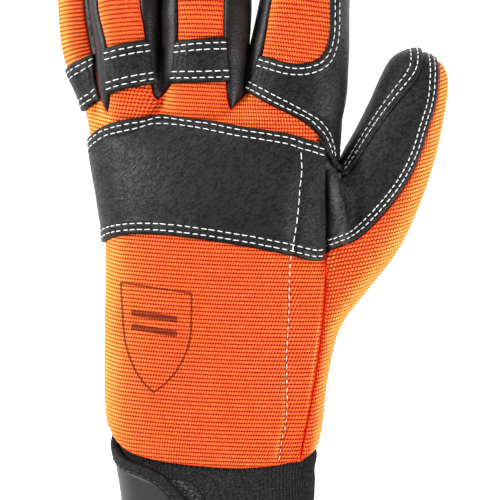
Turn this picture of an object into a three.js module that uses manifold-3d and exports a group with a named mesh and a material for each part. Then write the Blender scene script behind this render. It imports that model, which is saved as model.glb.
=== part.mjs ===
// A left-hand chainsaw work glove, lying palm down with the back of the hand up.
// Millimetres. +Z is up, +Y points to the fingertips and +X to the thumb side.
// The origin is on the flat face of the palm that rests on the surface.
//
// The glove is a hollow shell round a hand-shaped space. The shell is cut along its seams into a leather
// palm, stretch-cloth back panels, black side walls between the fingers and the thumb's panels. Leather
// overlays, such as the knuckle guard and the finger bands, lie on the shell as thin shaped plates. A knitted
// cuff closes the wrist end, with a hook-and-loop strap over it.
import * as THREE from "three";
import { mergeVertices } from "three/addons/utils/BufferGeometryUtils.js";
import Module from "manifold-3d";

const wasm = await Module();
wasm.setup();

// Overall sizes.
const palmWidth = 108; // across the knuckles
const palmHeight = 52; // from the rest face to the top of the padded back
const backLength = 154; // from the cuff seam to the line of the finger crotches
const palmCentre = 0.448; // share of the back's length from the cuff seam to the origin
const cuffLength = 42;

// Cloth and leather.
const shellWall = 2.4;
const overlayThickness = 1.4;
const seamGap = 0.3; // between two pieces that touch
const palmSeamHeight = 14; // height of the seam between the palm and the back, round the hand
const guardSkirt = 17; // how low the knuckle guard reaches at its ends

// Fingers and thumb: length is measured from the crotch line, or for the thumb from its web.
const fingers = {
  little: { length: 64, width: 22, height: 26, rollDegrees: 16 },
  ring: { length: 84, width: 29, height: 28, rollDegrees: 9 },
  middle: { length: 90, width: 36, height: 30, rollDegrees: 0 },
  index: { length: 76, width: 35, height: 29, rollDegrees: -4 },
};
const thumb = { length: 58.5, width: 34, height: 34, headingDegrees: 16 };

// Wrist strap.
const strapThickness = 2.4;
const strapLift = 1.7; // between the cuff and the strap, where the loop patch lies
const loopThickness = 0.6;
const bindingWidth = 4.6;
const bindingExtra = 0.5; // how much thicker the binding is than the strap

// How finely the rounded forms are faceted.
const bodySides = 20;
const fingerSides = 12;
const thumbSides = 12;
const fingerSteps = 6;
const thumbSteps = 10;
const tipAngles = [36, 68]; // degrees round a fingertip

// Sections of the hand, from the cuff seam (along 0) to the crotch line (along 1).
// left and right are shares of the palm's width; top and bottom are shares of its height;
// tilt lowers the top on the little-finger side.
const handRows = [
  { along: -0.03, left: -0.375, right: 0.365, top: 0.8, bottom: 0.06, tilt: 0.06 },
  { along: 0.02, left: -0.405, right: 0.385, top: 0.88, bottom: 0.01, tilt: 0.06 },
  { along: 0.08, left: -0.424, right: 0.4, top: 0.93, bottom: -0.02, tilt: 0.07 },
  { along: 0.22, left: -0.434, right: 0.42, top: 0.95, bottom: -0.02, tilt: 0.08 },
  { along: 0.42, left: -0.432, right: 0.45, top: 0.97, bottom: -0.02, tilt: 0.1 },
  { along: 0.6, left: -0.43, right: 0.462, top: 0.99, bottom: -0.02, tilt: 0.13 },
  { along: 0.73, left: -0.453, right: 0.462, top: 0.99, bottom: -0.02, tilt: 0.16 },
  { along: 0.84, left: -0.48, right: 0.47, top: 0.95, bottom: -0.02, tilt: 0.2 },
  { along: 0.92, left: -0.49, right: 0.48, top: 0.87, bottom: 0.02, tilt: 0.22 },
  { along: 0.98, left: -0.482, right: 0.475, top: 0.74, bottom: 0.12, tilt: 0.2 },
];

// Sections of the fingers: along is a share of the finger's length from the crotch line, side of the palm's
// width, rise of the palm's height; wide and tall are shares of the finger's own width and height.
const fingerRows = {
  little: [
    { along: -0.6, side: -0.37, rise: 0.36, wide: 0.8, tall: 0.85 },
    { along: 0, side: -0.43, rise: 0.32, wide: 0.84, tall: 0.98 },
    { along: 0.31, side: -0.495, rise: 0.28, wide: 0.93, tall: 0.98 },
    { along: 0.64, side: -0.514, rise: 0.26, wide: 0.98, tall: 0.96 },
    { along: 1, side: -0.523, rise: 0.22, wide: 0.86, tall: 0.86 },
  ],
  ring: [
    { along: -0.42, side: -0.29, rise: 0.5, wide: 0.85, tall: 0.9 },
    { along: 0, side: -0.322, rise: 0.53, wide: 0.97, tall: 0.98 },
    { along: 0.24, side: -0.335, rise: 0.55, wide: 0.89, tall: 1 },
    { along: 0.49, side: -0.35, rise: 0.53, wide: 1, tall: 1 },
    { along: 0.76, side: -0.36, rise: 0.42, wide: 0.95, tall: 0.94 },
    { along: 1, side: -0.366, rise: 0.25, wide: 0.84, tall: 0.84 },
  ],
  middle: [
    { along: -0.4, side: -0.05, rise: 0.52, wide: 0.9, tall: 0.9 },
    { along: 0, side: -0.05, rise: 0.56, wide: 0.99, tall: 0.98 },
    { along: 0.22, side: -0.041, rise: 0.58, wide: 0.97, tall: 1 },
    { along: 0.455, side: -0.036, rise: 0.57, wide: 1, tall: 1 },
    { along: 0.76, side: -0.034, rise: 0.44, wide: 0.92, tall: 0.93 },
    { along: 1, side: -0.034, rise: 0.25, wide: 0.8, tall: 0.8 },
  ],
  index: [
    { along: -0.42, side: 0.24, rise: 0.5, wide: 1.1, tall: 0.9 },
    { along: 0, side: 0.3, rise: 0.53, wide: 1.2, tall: 0.98 },
    { along: 0.26, side: 0.326, rise: 0.55, wide: 1.12, tall: 1 },
    { along: 0.54, side: 0.348, rise: 0.53, wide: 1, tall: 1 },
    { along: 0.78, side: 0.364, rise: 0.41, wide: 0.94, tall: 0.94 },
    { along: 1, side: 0.373, rise: 0.25, wide: 0.82, tall: 0.84 },
  ],
};

// The roll of cloth down the thumb side, from the cuff seam to the thumb's web: along is a share of the
// back's length. It becomes the free thumb, whose rows give reach as a share of the thumb's length.
const gussetRows = [
  { along: -0.03, side: 0.325, rise: 0.45, wide: 0.36, tall: 0.95 },
  { along: 0.1, side: 0.352, rise: 0.46, wide: 0.44, tall: 1.05 },
  { along: 0.25, side: 0.374, rise: 0.46, wide: 0.52, tall: 1.1 },
  { along: 0.4, side: 0.418, rise: 0.44, wide: 0.66, tall: 1.1 },
  { along: 0.53, side: 0.494, rise: 0.41, wide: 0.9, tall: 1.08 },
  { along: 0.65, side: 0.585, rise: 0.38, wide: 1.04, tall: 1.04 },
];
const thumbRows = [
  { reach: 0, bow: 0, rise: 0.36, wide: 1.08, tall: 1 },
  { reach: 0.27, bow: 0.06, rise: 0.34, wide: 1, tall: 0.94 },
  { reach: 0.53, bow: 0.08, rise: 0.31, wide: 0.91, tall: 0.88 },
  { reach: 0.77, bow: 0.07, rise: 0.28, wide: 0.81, tall: 0.8 },
  { reach: 1, bow: 0.02, rise: 0.24, wide: 0.7, tall: 0.68 },
];
const thumbWeb = { side: 0.658, along: 0.774 };

// Sections of the cuff, from just inside the glove (along below 0) to its open end (along 1).
const cuffRows = [
  { along: -0.12, left: -0.37, right: 0.388, top: 0.81, bottom: 0.1, tilt: 0.05 },
  { along: 0.15, left: -0.352, right: 0.388, top: 0.8, bottom: 0.1, tilt: 0.05 },
  { along: 0.55, left: -0.338, right: 0.386, top: 0.78, bottom: 0.1, tilt: 0.05 },
  { along: 1, left: -0.346, right: 0.384, top: 0.8, bottom: 0.1, tilt: 0.05 },
];

// Outlines seen from above: x is a share of the palm's width, y of the back's length from the cuff seam.
const cuffSeam = [
  { x: -0.47, y: 0.16 },
  { x: -0.424, y: 0.1 },
  { x: -0.392, y: 0.06 },
  { x: -0.33, y: 0.027 },
  { x: -0.2, y: 0.003 },
  { x: 0.0, y: -0.012 },
  { x: 0.14, y: -0.014 },
  { x: 0.28, y: -0.002 },
  { x: 0.37, y: 0.02 },
  { x: 0.41, y: 0.052 },
  { x: 0.46, y: 0.1 },
];
const guardTop = [
  { x: -0.56, y: 0.86 },
  { x: -0.506, y: 0.884 },
  { x: -0.44, y: 0.92 },
  { x: -0.37, y: 0.939 },
  { x: -0.2, y: 0.951 },
  { x: 0.101, y: 0.918 },
  { x: 0.29, y: 0.897 },
  { x: 0.41, y: 0.873 },
];
const guardBottom = [
  { x: 0.422, y: 0.557 },
  { x: 0.37, y: 0.555 },
  { x: 0.29, y: 0.569 },
  { x: 0.121, y: 0.593 },
  { x: -0.093, y: 0.617 },
  { x: -0.268, y: 0.628 },
  { x: -0.389, y: 0.621 },
  { x: -0.44, y: 0.6 },
  { x: -0.5, y: 0.57 },
];
// Between the hand and the thumb's side: up the groove and the fold, then through the web.
const thumbSideLine = [
  { x: 0.33, y: -0.03 },
  { x: 0.345, y: 0.03 },
  { x: 0.389, y: 0.218 },
  { x: 0.424, y: 0.4 },
  { x: 0.432, y: 0.49 },
  { x: 0.424, y: 0.569 },
  { x: 0.42, y: 0.7 },
  { x: 0.428, y: 0.8 },
  { x: 0.446, y: 0.836 },
  { x: 0.484, y: 0.826 },
  { x: 0.51, y: 0.86 },
  { x: 0.545, y: 0.94 },
  { x: 0.6, y: 1.08 },
  { x: 0.62, y: 1.4 },
];
// Between the leather and the cloth of the thumb.
const thumbEdge = [
  { x: 0.39, y: 0.565 },
  { x: 0.45, y: 0.584 },
  { x: 0.56, y: 0.617 },
  { x: 0.665, y: 0.688 },
  { x: 0.751, y: 0.768 },
  { x: 0.805, y: 0.845 },
  { x: 0.837, y: 0.916 },
  { x: 0.869, y: 0.989 },
  { x: 0.88, y: 1.052 },
  { x: 0.88, y: 1.1 },
  { x: 0.866, y: 1.15 },
];
const crotchPatchEdge = [
  { x: 0.5, y: 0.74 },
  { x: 0.53, y: 0.78 },
  { x: 0.555, y: 0.83 },
  { x: 0.65, y: 0.925 },
  { x: 0.74, y: 1.01 },
  { x: 0.79, y: 1.055 },
  { x: 0.81, y: 1.1 },
  { x: 0.8, y: 1.17 },
];
// The walls between two fingers: near is the edge on the little-finger side, far on the index side.
const wallOutlines = {
  little_ring: {
    tip: { x: -0.424, y: 0.959 },
    near: [
      { x: -0.447, y: 0.997 },
      { x: -0.486, y: 1.125 },
      { x: -0.519, y: 1.264 },
      { x: -0.53, y: 1.5 },
    ],
    far: [
      { x: -0.414, y: 1.014 },
      { x: -0.424, y: 1.136 },
      { x: -0.461, y: 1.264 },
      { x: -0.44, y: 1.45 },
      { x: -0.4, y: 1.62 },
    ],
  },
  ring_middle: {
    tip: { x: -0.222, y: 0.995 },
    near: [
      { x: -0.245, y: 1.027 },
      { x: -0.274, y: 1.183 },
      { x: -0.292, y: 1.264 },
      { x: -0.3, y: 1.42 },
      { x: -0.34, y: 1.64 },
    ],
    far: [
      { x: -0.173, y: 1.041 },
      { x: -0.156, y: 1.076 },
      { x: -0.146, y: 1.177 },
      { x: -0.144, y: 1.4 },
      { x: -0.09, y: 1.68 },
    ],
  },
  middle_index: {
    tip: { x: 0.062, y: 0.968 },
    near: [
      { x: 0.047, y: 1.014 },
      { x: 0.045, y: 1.076 },
      { x: 0.035, y: 1.177 },
      { x: 0.035, y: 1.4 },
      { x: -0.005, y: 1.68 },
    ],
    far: [
      { x: 0.158, y: 1.04 },
      { x: 0.183, y: 1.123 },
      { x: 0.217, y: 1.264 },
      { x: 0.26, y: 1.4 },
      { x: 0.33, y: 1.6 },
    ],
  },
};
// The bands over the knuckles of the fingers: low and high edges, from the little-finger side.
const bandOutlines = {
  little: {
    low: [
      { x: -0.62, y: 0.9 },
      { x: -0.521, y: 0.965 },
      { x: -0.42, y: 1.01 },
    ],
    high: [
      { x: -0.42, y: 1.145 },
      { x: -0.541, y: 1.106 },
      { x: -0.64, y: 1.06 },
    ],
  },
  ring: {
    low: [
      { x: -0.43, y: 1.005 },
      { x: -0.362, y: 1.022 },
      { x: -0.235, y: 1.04 },
    ],
    high: [
      { x: -0.235, y: 1.163 },
      { x: -0.374, y: 1.146 },
      { x: -0.44, y: 1.13 },
    ],
  },
  middle: {
    low: [
      { x: -0.19, y: 1.04 },
      { x: 0.06, y: 1.044 },
    ],
    high: [
      { x: 0.06, y: 1.165 },
      { x: -0.07, y: 1.161 },
      { x: -0.17, y: 1.153 },
    ],
  },
};
// The leather round the index finger: its lower edge, then the notch that shows the finger's cloth.
const indexWrapLow = [
  { x: 0.1, y: 1.03 },
  { x: 0.206, y: 0.984 },
  { x: 0.331, y: 0.936 },
  { x: 0.397, y: 0.898 },
  { x: 0.43, y: 0.865 },
  { x: 0.56, y: 0.84 },
];
const indexWrapNotch = [
  { x: 0.62, y: 1.66 },
  { x: 0.43, y: 1.66 },
  { x: 0.438, y: 1.4 },
  { x: 0.442, y: 1.19 },
  { x: 0.428, y: 1.134 },
  { x: 0.389, y: 1.105 },
  { x: 0.331, y: 1.094 },
  { x: 0.268, y: 1.099 },
  { x: 0.14, y: 1.125 },
];
// Under the bands the finger backs meet the back of the hand on this line.
const fingerJoin = [
  { x: -0.7, y: 0.99 },
  { x: -0.47, y: 1.05 },
  { x: -0.34, y: 1.085 },
  { x: -0.16, y: 1.1 },
  { x: 0.05, y: 1.1 },
  { x: 0.16, y: 1.05 },
  { x: 0.38, y: 0.99 },
  { x: 0.6, y: 0.97 },
];
// Hidden under the knuckle guard: the seam across the back of the hand.
const backJoin = [
  { x: -0.7, y: 0.74 },
  { x: 0, y: 0.76 },
  { x: 0.7, y: 0.7 },
];
// The thumb's seam on the palm, from its outer side up to the web.
const thumbFrontLine = [
  { x: 0.62, y: 0.28 },
  { x: 0.44, y: 0.36 },
  { x: 0.37, y: 0.46 },
  { x: 0.36, y: 0.6 },
  { x: 0.4, y: 0.74 },
  { x: 0.48, y: 0.83 },
  { x: 0.54, y: 0.94 },
  { x: 0.6, y: 1.08 },
  { x: 0.62, y: 1.4 },
];
// The strap seen from above, round its free end, and its plain end underneath.
const strapEdge = [
  { x: -0.5, y: 0.15 },
  { x: -0.424, y: 0.095 },
  { x: -0.38, y: 0.048 },
  { x: -0.331, y: 0.012 },
  { x: -0.27, y: -0.006 },
  { x: -0.2, y: -0.03 },
  { x: -0.13, y: -0.08 },
  { x: -0.095, y: -0.14 },
  { x: -0.115, y: -0.195 },
  { x: -0.19, y: -0.238 },
  { x: -0.29, y: -0.246 },
  { x: -0.38, y: -0.22 },
  { x: -0.5, y: -0.15 },
];
const strapUnder = { right: 0.05, low: -0.19, high: 0.12 };
const loopPatch = { left: -0.3, right: -0.045, low: -0.225, high: -0.045 };

// Helpers for places.
const originY = palmCentre * backLength;
const placeX = (share) => share * palmWidth;
const placeY = (share) => share * backLength - originY;
const crotchY = placeY(1);
const degrees = Math.PI / 180;
const farAway = 2 * (backLength + palmWidth);

// A smooth value of one column of a table, at a place between its rows.
function column(rows, key, name, place) {
  const last = rows.length - 1;
  let i = 0;
  while (i < last - 1 && place > rows[i + 1][key]) i += 1;
  const row = (k) => rows[Math.min(Math.max(k, 0), last)];
  const slope = (k) => {
    const [a, b] = [row(k - 1), row(k + 1)];
    return (b[name] - a[name]) / (b[key] - a[key]);
  };
  const [start, end] = [row(i), row(i + 1)];
  const span = end[key] - start[key];
  const t = (place - start[key]) / span;
  const [t2, t3] = [t * t, t * t * t];
  return (
    (2 * t3 - 3 * t2 + 1) * start[name] +
    (t3 - 2 * t2 + t) * span * slope(i) +
    (3 * t2 - 2 * t3) * end[name] +
    (t3 - t2) * span * slope(i + 1)
  );
}

// A rounded section's unit coordinates at an angle: a squareness of 2 is an ellipse, and more is boxier.
function roundedUnit(angle, squareness) {
  const [c, s] = [Math.cos(angle), Math.sin(angle)];
  const power = 2 / squareness;
  return [Math.sign(c) * Math.abs(c) ** power, Math.sign(s) * Math.abs(s) ** power];
}

// A closed skin through rings of points, capped at both ends.
function loft(rings) {
  const count = rings[0].length;
  const middle = (ring) => ring.reduce((sum, p) => sum.add(p), new THREE.Vector3()).divideScalar(count);
  const points = [...rings.flat(), middle(rings[0]), middle(rings.at(-1))];
  const [startHub, endHub] = [points.length - 2, points.length - 1];
  const faces = [];
  const lastRing = (rings.length - 1) * count;
  for (let i = 0; i < count; i += 1) {
    const j = (i + 1) % count;
    for (let r = 0; r < rings.length - 1; r += 1) {
      const [a, b] = [r * count + i, r * count + j];
      faces.push(a, b, b + count, a, b + count, a + count);
    }
    faces.push(startHub, j, i, endHub, lastRing + i, lastRing + j);
  }
  const geometry = new THREE.BufferGeometry().setFromPoints(points);
  geometry.setIndex(faces);
  return geometry;
}

// Solids and booleans.
function solid(geometry) {
  const bare = new THREE.BufferGeometry();
  bare.setAttribute("position", geometry.getAttribute("position"));
  bare.setIndex(geometry.index);
  const merged = mergeVertices(bare, 1e-4);
  const triVerts = new Uint32Array(merged.index.array);
  const build = (verts) =>
    new wasm.Manifold(
      new wasm.Mesh({ numProp: 3, vertProperties: merged.attributes.position.array, triVerts: verts }),
    );
  const made = build(triVerts);
  return made.volume() < 0 ? build(triVerts.reverse()) : made;
}
const union = (parts) => parts.reduce((all, part) => all.add(part));

function box(low, high) {
  const size = high.map((value, i) => value - low[i]);
  const geometry = new THREE.BoxGeometry(...size);
  geometry.translate(...low.map((value, i) => value + size[i] / 2));
  return solid(geometry);
}

// A tall prism over an outline.
function prism(points) {
  const shape = new THREE.Shape(points.map((p) => new THREE.Vector2(p.x, p.y)));
  const geometry = new THREE.ExtrudeGeometry(shape, { depth: 2 * farAway, bevelEnabled: false });
  geometry.translate(0, 0, -farAway);
  return solid(geometry);
}
const toPlan = (rows) => rows.map((p) => new THREE.Vector2(placeX(p.x), placeY(p.y)));
// A run of points moved sideways, to the left of its direction.
function shifted(points, distance) {
  return points.map((p, i) => {
    const before = points[Math.max(i - 1, 0)];
    const after = points[Math.min(i + 1, points.length - 1)];
    const way = after.clone().sub(before).normalize();
    return new THREE.Vector2(p.x - way.y * distance, p.y + way.x * distance);
  });
}
const corner = (x, y) => new THREE.Vector2(placeX(x), placeY(y));

// The hand-shaped form, drawn in by an inset, or grown by a negative one.
function slopedRing(rows, key, place, y, inset) {
  const value = (name) => column(rows, key, name, place);
  const [left, right] = [placeX(value("left")) + inset, placeX(value("right")) - inset];
  const top = value("top") * palmHeight - inset;
  const bottom = value("bottom") * palmHeight + inset;
  const [middleX, middleZ] = [(left + right) / 2, (top + bottom) / 2];
  const squareness = 2.5;
  return Array.from({ length: bodySides }, (_, i) => {
    const angle = (i / bodySides) * 2 * Math.PI;
    const [u, v] = roundedUnit(angle, squareness);
    const tilt = v > 0 ? 1 + value("tilt") * u : 1;
    const z = middleZ + (v * tilt * (top - bottom)) / 2;
    return new THREE.Vector3(middleX + (u * (right - left)) / 2, y, z);
  });
}
function handForm(inset) {
  const places = handRows.map((row) => row.along);
  const rings = places.map((along, i) => {
    const end = i === places.length - 1 ? inset : 0;
    const open = i === 0 && inset > 0 ? cuffLength : 0;
    return slopedRing(handRows, "along", along, placeY(along) - end - open, inset);
  });
  return solid(loft(rings));
}
function cuffForm(inset) {
  const rings = cuffRows.map((row) => {
    const open = inset > 0 && row.along === 1 ? cuffLength : 0;
    return slopedRing(cuffRows, "along", row.along, placeY(0) - row.along * cuffLength - open, inset);
  });
  return solid(loft(rings.reverse()));
}

// Stations along a finger or the thumb: a centre, a direction, and half sizes across and up.
function fingerStations(name) {
  const rows = fingerRows[name];
  const finger = fingers[name];
  const tip = finger.width / 2 / finger.length;
  const start = rows[0].along;
  const at = (along) => {
    const value = (key) => column(rows, "along", key, along);
    const [x, y] = [placeX(value("side")), crotchY + along * finger.length];
    return {
      centre: new THREE.Vector3(x, y, value("rise") * palmHeight),
      wide: (value("wide") * finger.width) / 2,
      tall: (value("tall") * finger.height) / 2,
    };
  };
  const stride = (1 - tip - start) / (fingerSteps - 1);
  const stations = Array.from({ length: fingerSteps }, (_, i) => at(start + i * stride));
  for (const angle of tipAngles) {
    const station = at(1 - tip + tip * Math.sin(angle * degrees));
    station.wide *= Math.cos(angle * degrees);
    station.tall *= Math.cos(angle * degrees);
    stations.push(station);
  }
  return stations;
}
function thumbStations() {
  const heading = thumb.headingDegrees * degrees;
  const web = new THREE.Vector2(placeX(thumbWeb.side), placeY(thumbWeb.along));
  const rows = [
    ...gussetRows.map((row) => ({ ...row, x: placeX(row.side), y: placeY(row.along) })),
    ...thumbRows.map((row) => ({
      ...row,
      x: web.x + row.reach * thumb.length * Math.sin(heading) + row.bow * thumb.width,
      y: web.y + row.reach * thumb.length * Math.cos(heading),
    })),
  ];
  rows.forEach((row, i) => (row.step = i));
  const tip = 0.62;
  const last = rows.length - 1;
  const at = (step) => {
    const value = (key) => column(rows, "step", key, step);
    return {
      centre: new THREE.Vector3(value("x"), value("y"), value("rise") * palmHeight),
      wide: (value("wide") * thumb.width) / 2,
      tall: (value("tall") * thumb.height) / 2,
    };
  };
  const steps = Array.from({ length: thumbSteps }, (_, i) => ((last - tip) * i) / (thumbSteps - 1));
  const stations = steps.map((step) => at(step));
  for (const angle of tipAngles) {
    const station = at(last - tip + tip * Math.sin(angle * degrees));
    station.wide *= Math.cos(angle * degrees);
    station.tall *= Math.cos(angle * degrees);
    stations.push(station);
  }
  return stations;
}
// A ring across each station, made by a function of the station's half sizes.
function ringsAlong(stations, roll, across) {
  return stations.map((station, i) => {
    const before = stations[Math.max(i - 1, 0)].centre;
    const after = stations[Math.min(i + 1, stations.length - 1)].centre;
    const way = after.clone().sub(before).normalize();
    const side = new THREE.Vector3(0, 0, 1).cross(way).negate().normalize();
    const up = side.clone().cross(way).normalize();
    side.applyAxisAngle(way, -roll * degrees);
    up.applyAxisAngle(way, -roll * degrees);
    return across(station).map(([a, b]) =>
      station.centre.clone().addScaledVector(side, a).addScaledVector(up, b),
    );
  });
}
function tubeForm(stations, roll, sides, inset) {
  const shortened = stations.map((station) => ({ ...station, centre: station.centre.clone() }));
  const tipStart = stations.length - tipAngles.length - 1;
  const tipWay = stations.at(-1).centre.clone().sub(stations[tipStart].centre).normalize();
  const tipLength = stations.at(-1).centre.distanceTo(stations[tipStart].centre);
  shortened.slice(tipStart + 1).forEach((station) => {
    const share = station.centre.distanceTo(stations[tipStart].centre) / tipLength;
    station.centre.addScaledVector(tipWay, -inset * share);
  });
  const squareness = 2.3;
  const rings = ringsAlong(shortened, roll, (station) => {
    const bulk = Math.min(station.wide, station.tall);
    const kept = Math.max(bulk - inset, bulk * 0.15) - bulk;
    return Array.from({ length: sides }, (_, i) => {
      const [u, v] = roundedUnit((i / sides) * 2 * Math.PI, squareness);
      return [u * (station.wide + kept), v * (station.tall + kept)];
    });
  });
  return solid(loft(rings));
}
// The underside of a finger or thumb, as a slab below its seam, grown by a gap.
function underSlab({ stations, roll, spareSide }, gap) {
  const seamShare = 0.2; // of the half height, below the middle
  const spareEnd = 2;
  const longer = stations.map((station) => ({ ...station, centre: station.centre.clone() }));
  const startWay = stations[0].centre.clone().sub(stations[1].centre).normalize();
  const endWay = stations.at(-1).centre.clone().sub(stations.at(-2).centre).normalize();
  longer[0].centre.addScaledVector(startWay, gap);
  longer.at(-1).centre.addScaledVector(endWay, spareEnd + gap);
  const rings = ringsAlong(longer, roll, (station) => {
    const a = station.wide + spareSide + gap;
    const [low, high] = [-station.tall - palmHeight, -seamShare * station.tall + gap];
    return [
      [a, low],
      [a, high],
      [-a, high],
      [-a, low],
    ];
  });
  return solid(loft(rings));
}

const digits = Object.fromEntries(
  Object.keys(fingers).map((name) => [
    name,
    { stations: fingerStations(name), roll: fingers[name].rollDegrees, sides: fingerSides, spareSide: 0.2 },
  ]),
);
digits.thumb = { stations: thumbStations(), roll: 0, sides: thumbSides, spareSide: 5 };

// The whole hand form at an inset, pressed flat underneath.
function gloveForm(inset) {
  const tubes = Object.values(digits).map((d) => tubeForm(d.stations, d.roll, d.sides, inset));
  const floor = Math.max(inset, 0);
  const above = box([-farAway, -farAway, floor], [farAway, farAway, farAway]);
  return union([handForm(inset), ...tubes]).intersect(above);
}

// Everything on the palm's side of the seam round the hand, grown by a gap.
function palmSide(gap) {
  const slabs = Object.values(digits).map((digit) => underSlab(digit, gap));
  const handEnd = placeY(0.97);
  const hand = box([-farAway, -farAway, -farAway], [farAway, handEnd + gap, palmSeamHeight + gap]);
  return union([hand, ...slabs]);
}

// Regions seen from above. A line is closed over far corners on one of its sides and keeps half a gap.
const half = seamGap / 2;
const beyond = 4;
const farCorners = {
  above: [corner(beyond, beyond), corner(-beyond, beyond)],
  below: [corner(beyond, -beyond), corner(-beyond, -beyond)],
  left: [corner(-beyond, beyond), corner(-beyond, -beyond)],
  right: [corner(beyond, beyond), corner(beyond, -beyond)],
  inner: [corner(0.866, beyond), corner(-beyond, beyond), corner(-beyond, 0.5)],
  outer: [
    corner(0.866, beyond),
    corner(beyond, beyond),
    corner(beyond, -beyond),
    corner(-beyond, -beyond),
    corner(-beyond, 0.5),
  ],
};
const keptSide = { above: half, below: -half, left: half, right: -half, inner: half, outer: -half };
function region(rows, side) {
  return prism([...shifted(toPlan(rows), keptSide[side]), ...farCorners[side]]);
}
function wallRegion(name, grown) {
  const { tip, near, far } = wallOutlines[name];
  const nearLine = shifted(toPlan([tip, ...near]), grown);
  const farLine = shifted(toPlan([tip, ...far]), -grown);
  const [point] = toPlan([tip]);
  const start = new THREE.Vector2(point.x, point.y - 2 * grown);
  return prism([start, ...farLine.slice(1), ...nearLine.slice(1).reverse()]);
}
const outlineBetween = (low, high) => prism([...toPlan(low), ...toPlan(high)]);

// Pieces of the shell.
const shell = gloveForm(0).subtract(gloveForm(shellWall)).intersect(region(cuffSeam, "above"));
const palm = shell.intersect(palmSide(0));
const upper = shell.subtract(palmSide(seamGap));
const thumbUpper = upper.intersect(region(thumbSideLine, "right"));
const handUpper = upper.intersect(region(thumbSideLine, "left"));
const wallNames = Object.keys(wallOutlines);
const withoutWalls = wallNames.reduce((rest, name) => rest.subtract(wallRegion(name, seamGap)), handUpper);
const fingerCloth = withoutWalls.intersect(region(fingerJoin, "above"));
const fingerSpan = {
  little: { before: "little_ring" },
  ring: { past: "little_ring", before: "ring_middle" },
  middle: { past: "ring_middle", before: "middle_index" },
  index: { past: "middle_index" },
};
// The part of a form that belongs to one finger, between the walls on its two sides.
function ofFinger(name, form) {
  const { past, before } = fingerSpan[name];
  const pastWall = wallOutlines[past];
  const nextWall = wallOutlines[before];
  const start = past ? form.intersect(region([pastWall.tip, ...pastWall.far], "right")) : form;
  return before ? start.intersect(region([nextWall.tip, ...nextWall.near], "left")) : start;
}

// The fronts of the fingers and the thumb are sewn to the palm.
const frontStart = 0.97; // share of the back's length where the fingers' fronts begin
const overlap = 0.05; // so that a cutter's sides stand just clear of the shell
function fingerFrontCutter(name, grown) {
  const { stations, roll, sides } = digits[name];
  const low = placeY(frontStart) + half - grown;
  const beyondStart = box([-farAway, low, -farAway], [farAway, farAway, farAway]);
  return tubeForm(stations, roll, sides, -overlap - grown).intersect(beyondStart);
}
const fingerNames = Object.keys(fingers);
const handFront = palm.intersect(region(thumbFrontLine, "left"));
const thumbFront = palm.intersect(region(thumbFrontLine, "right"));
const palmPanel = fingerNames.reduce(
  (rest, name) => rest.subtract(fingerFrontCutter(name, seamGap)),
  handFront,
);
const fingerFront = (name) =>
  fingerNames
    .slice(0, fingerNames.indexOf(name))
    .reduce(
      (rest, before) => rest.subtract(fingerFrontCutter(before, seamGap)),
      handFront.intersect(fingerFrontCutter(name, 0)),
    );

// Leather laid on the shell.
const overlay = gloveForm(-seamGap - overlayThickness).subtract(gloveForm(-seamGap));
const overlayTop = overlay.subtract(palmSide(seamGap));
const band = (name) => {
  const { low, high } = bandOutlines[name];
  return ofFinger(name, overlayTop.intersect(outlineBetween(low, high)));
};

const guard = overlay
  .intersect(outlineBetween(guardTop, guardBottom))
  .subtract(box([-farAway, -farAway, -farAway], [farAway, farAway, guardSkirt]));
const indexWrap = ofFinger("index", overlayTop)
  .intersect(outlineBetween(indexWrapLow, indexWrapNotch))
  .intersect(region(thumbSideLine, "left"));
const crotchPatch = overlayTop
  .intersect(region(thumbSideLine, "right"))
  .intersect(region(crotchPatchEdge, "left"));

// The cuff and what lies over it.
const belowSeam = region(cuffSeam, "below");
const cuff = cuffForm(0).subtract(cuffForm(shellWall)).intersect(belowSeam);
const cuffLayer = (from, to) => cuffForm(-to).subtract(cuffForm(-from)).intersect(belowSeam);

const upperHalf = box([-farAway, -farAway, palmHeight / 2], [farAway, farAway, farAway]);
const strapInner = shifted(toPlan(strapEdge), -bindingWidth - seamGap);
const strapRegion = (edge, inset) => {
  const [right, low, high] = [placeX(strapUnder.right), placeY(strapUnder.low), placeY(strapUnder.high)];
  const under = box([-farAway, low + inset, -farAway], [right - inset, high, palmHeight / 2]);
  return prism(edge).intersect(upperHalf).add(under);
};
const strapFrom = strapLift;
const strapTo = strapLift + strapThickness;
const strap = cuffLayer(strapFrom, strapTo).intersect(strapRegion(strapInner, bindingWidth + seamGap));
const rim = strapRegion(toPlan(strapEdge), 0).subtract(
  strapRegion(shifted(toPlan(strapEdge), -bindingWidth), bindingWidth),
);
const binding = cuffLayer(strapFrom - bindingExtra, strapTo + bindingExtra).intersect(rim);
const loop = cuffLayer(seamGap, seamGap + loopThickness)
  .intersect(upperHalf)
  .intersect(
    box(
      [placeX(loopPatch.left), placeY(loopPatch.low), 0],
      [placeX(loopPatch.right), placeY(loopPatch.high), farAway],
    ),
  );

const colours = {
  orange: { color: 0xf4641e, roughness: 0.8 },
  leather: { color: 0x343436, roughness: 0.55 },
  sideCloth: { color: 0x1d1b1c, roughness: 0.75 },
  knit: { color: 0x17171a, roughness: 0.9 },
  satin: { color: 0x5a5a5e, roughness: 0.4 },
};
const glove = new THREE.Group();
function piece(name, form, { color, roughness }) {
  const { vertProperties, triVerts } = form.getMesh();
  const geometry = new THREE.BufferGeometry();
  geometry.setAttribute("position", new THREE.BufferAttribute(new Float32Array(vertProperties), 3));
  geometry.setIndex(new THREE.BufferAttribute(new Uint32Array(triVerts), 1));
  const mesh = new THREE.Mesh(geometry, new THREE.MeshStandardMaterial({ color, roughness, metalness: 0 }));
  mesh.name = name;
  glove.add(mesh);
}

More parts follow.
